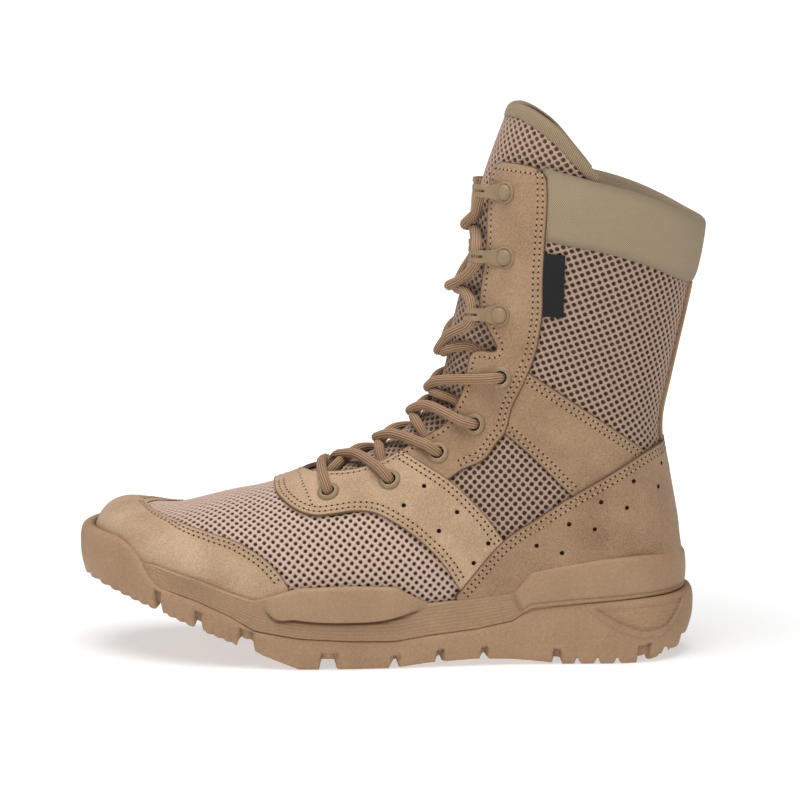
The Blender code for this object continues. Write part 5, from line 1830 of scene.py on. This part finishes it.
def build_stitching():
    holes_at, stitches_at, seams_at = [], [], []

    def row(name, line, insets, sides, start=0.0, end=1.0, hand=1.0, threads=stitches_at):
        tree = faces_of(bpy.data.objects[name].data)
        for side in sides:
            for inset in insets:
                found = stitch_row(tree, line, inset, side, start, end, hand)
                holes_at.extend(found[0])
                threads.extend(found[1])

    row("toe_cap_suede", TOE_HIGH, (2.2, 4.6), BOTH, 0.02, 0.93)
    row("saddle_suede", SADDLE_FROM, (2.2, 4.8), BOTH, 0.06, 0.93, -1.0)
    row("saddle_suede", SADDLE_END, (2.0, 4.6), BOTH, 0.0, 0.82)
    row("saddle_suede", SADDLE_THROAT, (2.6,), BOTH, 0.25, 1.0)
    row("counter_suede", COUNTER_TOP, (2.2, 4.8), BOTH, 0.03, 0.97)
    for side, name in SIDES:
        row(f"strap_{name}_suede", STRAP_TOP, (2.2, 4.8), (side,), 0.07, 0.92)
        row(f"strap_{name}_suede", STRAP_BOTTOM, (2.2, 4.8), (side,), 0.1, 0.85, -1.0)
        row(f"eyestay_{name}_suede", EYESTAY_END, (2.4, 5.0), (side,), 0.01, 0.93)
        row(f"eyestay_{name}_suede", EYESTAY_THROAT, (3.0,), (side,), 0.02, 0.97, -1.0)
        row(f"eyestay_{name}_suede", stay_top, (0.0,), (side,))
    row("saddle_suede", line_on_side(SADDLE_SEAM), (0.0,), BOTH, threads=seams_at)
    # Dark discs of painted shade just below the face, down inside the perforations.
    shade_discs_at = []
    for spots, out in ((SADDLE_HOLES, SADDLE_FACE - 1.2), (COUNTER_HOLES, COUNTER_FACE - 0.9)):
        shade_discs_at += [frame_on_side(x, z, side, out) for side in BOTH for x, z in spots]
    scatter("perforation_painted_shade", cone_shape(12, 1.2, 1.2, 0.3), shade_discs_at, HOLE_SHADE)
    scatter("saddle_seam", thread_shape(), seams_at, PALE_THREAD)
    scatter("stitching", thread_shape(), stitches_at, THREAD)
    scatter("needle_holes_painted_shade", cone_shape(8, 0.6, 0.48, 0.18), holes_at, HOLE_SHADE)


# Stage

FLOOR_HALF = 30.0  # metres, like the rest of the stage
FLOOR_BELOW = 0.0003
# The floor glows: painted light that keeps it white and lights the boot from below; it glows less within 0.2
# to 0.9 m of the middle so cast shadows show near the boot.
FLOOR_TONE = (0.62, 0.62, 0.62, 1.0)
NEAR_GLOW = (0.52, 0.52, 0.52, 1.0)
WHITE = (1.0, 1.0, 1.0, 1.0)
LAMP_AIM = Vector((0.0, 0.0, 0.1))


def add_stage():
    bm = bmesh.new()
    bmesh.ops.create_grid(bm, x_segments=2, y_segments=2, size=FLOOR_HALF)
    bmesh.ops.translate(bm, vec=(0.0, 0.0, -FLOOR_BELOW), verts=bm.verts)
    mesh = bpy.data.meshes.new("floor")
    bm.to_mesh(mesh)
    bm.free()
    material, tree, shader = look("glowing_pale_floor", 0.9)
    shader.inputs["Base Color"].default_value = FLOOR_TONE
    place = coordinates(tree, "Object")
    away = add_node(tree, "ShaderNodeVectorMath", {0: place}, operation="LENGTH").outputs["Value"]
    spread = {"Value": away, "From Min": 0.2, "From Max": 0.9}
    share = add_node(tree, "ShaderNodeMapRange", spread).outputs[0]
    tree.links.new(mixed(tree, share, NEAR_GLOW, WHITE), shader.inputs["Emission Color"])
    shader.inputs["Emission Strength"].default_value = 1.0
    mesh.materials.append(material)
    into_scene("floor", mesh)


def add_lamp(name, place, size, power):
    """A round lamp aimed at the boot."""
    lamp = bpy.data.lights.new(name, "AREA")
    lamp.shape = "DISK"
    lamp.size = size
    lamp.energy = power
    holder = into_scene(name, lamp)
    holder.location = place
    holder.rotation_euler = (LAMP_AIM - Vector(place)).to_track_quat("-Z", "Y").to_euler()


def add_light():
    world = bpy.data.worlds.new("studio")
    bpy.context.scene.world = world
    world.use_nodes = True
    sky = world.node_tree.nodes["Background"].inputs
    sky["Color"].default_value = WHITE
    sky["Strength"].default_value = 0.2
    add_lamp("overhead", (-0.15, -0.45, 1.6), 1.5, 26.0)
    add_lamp("front", (-0.8, -1.6, 0.9), 1.0, 1.0)
    bpy.context.scene.view_settings.view_transform = "Standard"


add_stage()
add_light()
UPPER = faces_of(frame["nodes"]["upper"].data)
build_lining()
build_overlays()
build_cuff()
build_tongue()
build_knit()
build_outsole(UPPER)
build_midsole(UPPER)
build_eyelets()
build_hooks()
build_lace()
build_stitching()
frame["nodes"]["insole"].data.materials.clear()
frame["nodes"]["insole"].data.materials.append(INSOLE_CLOTH)
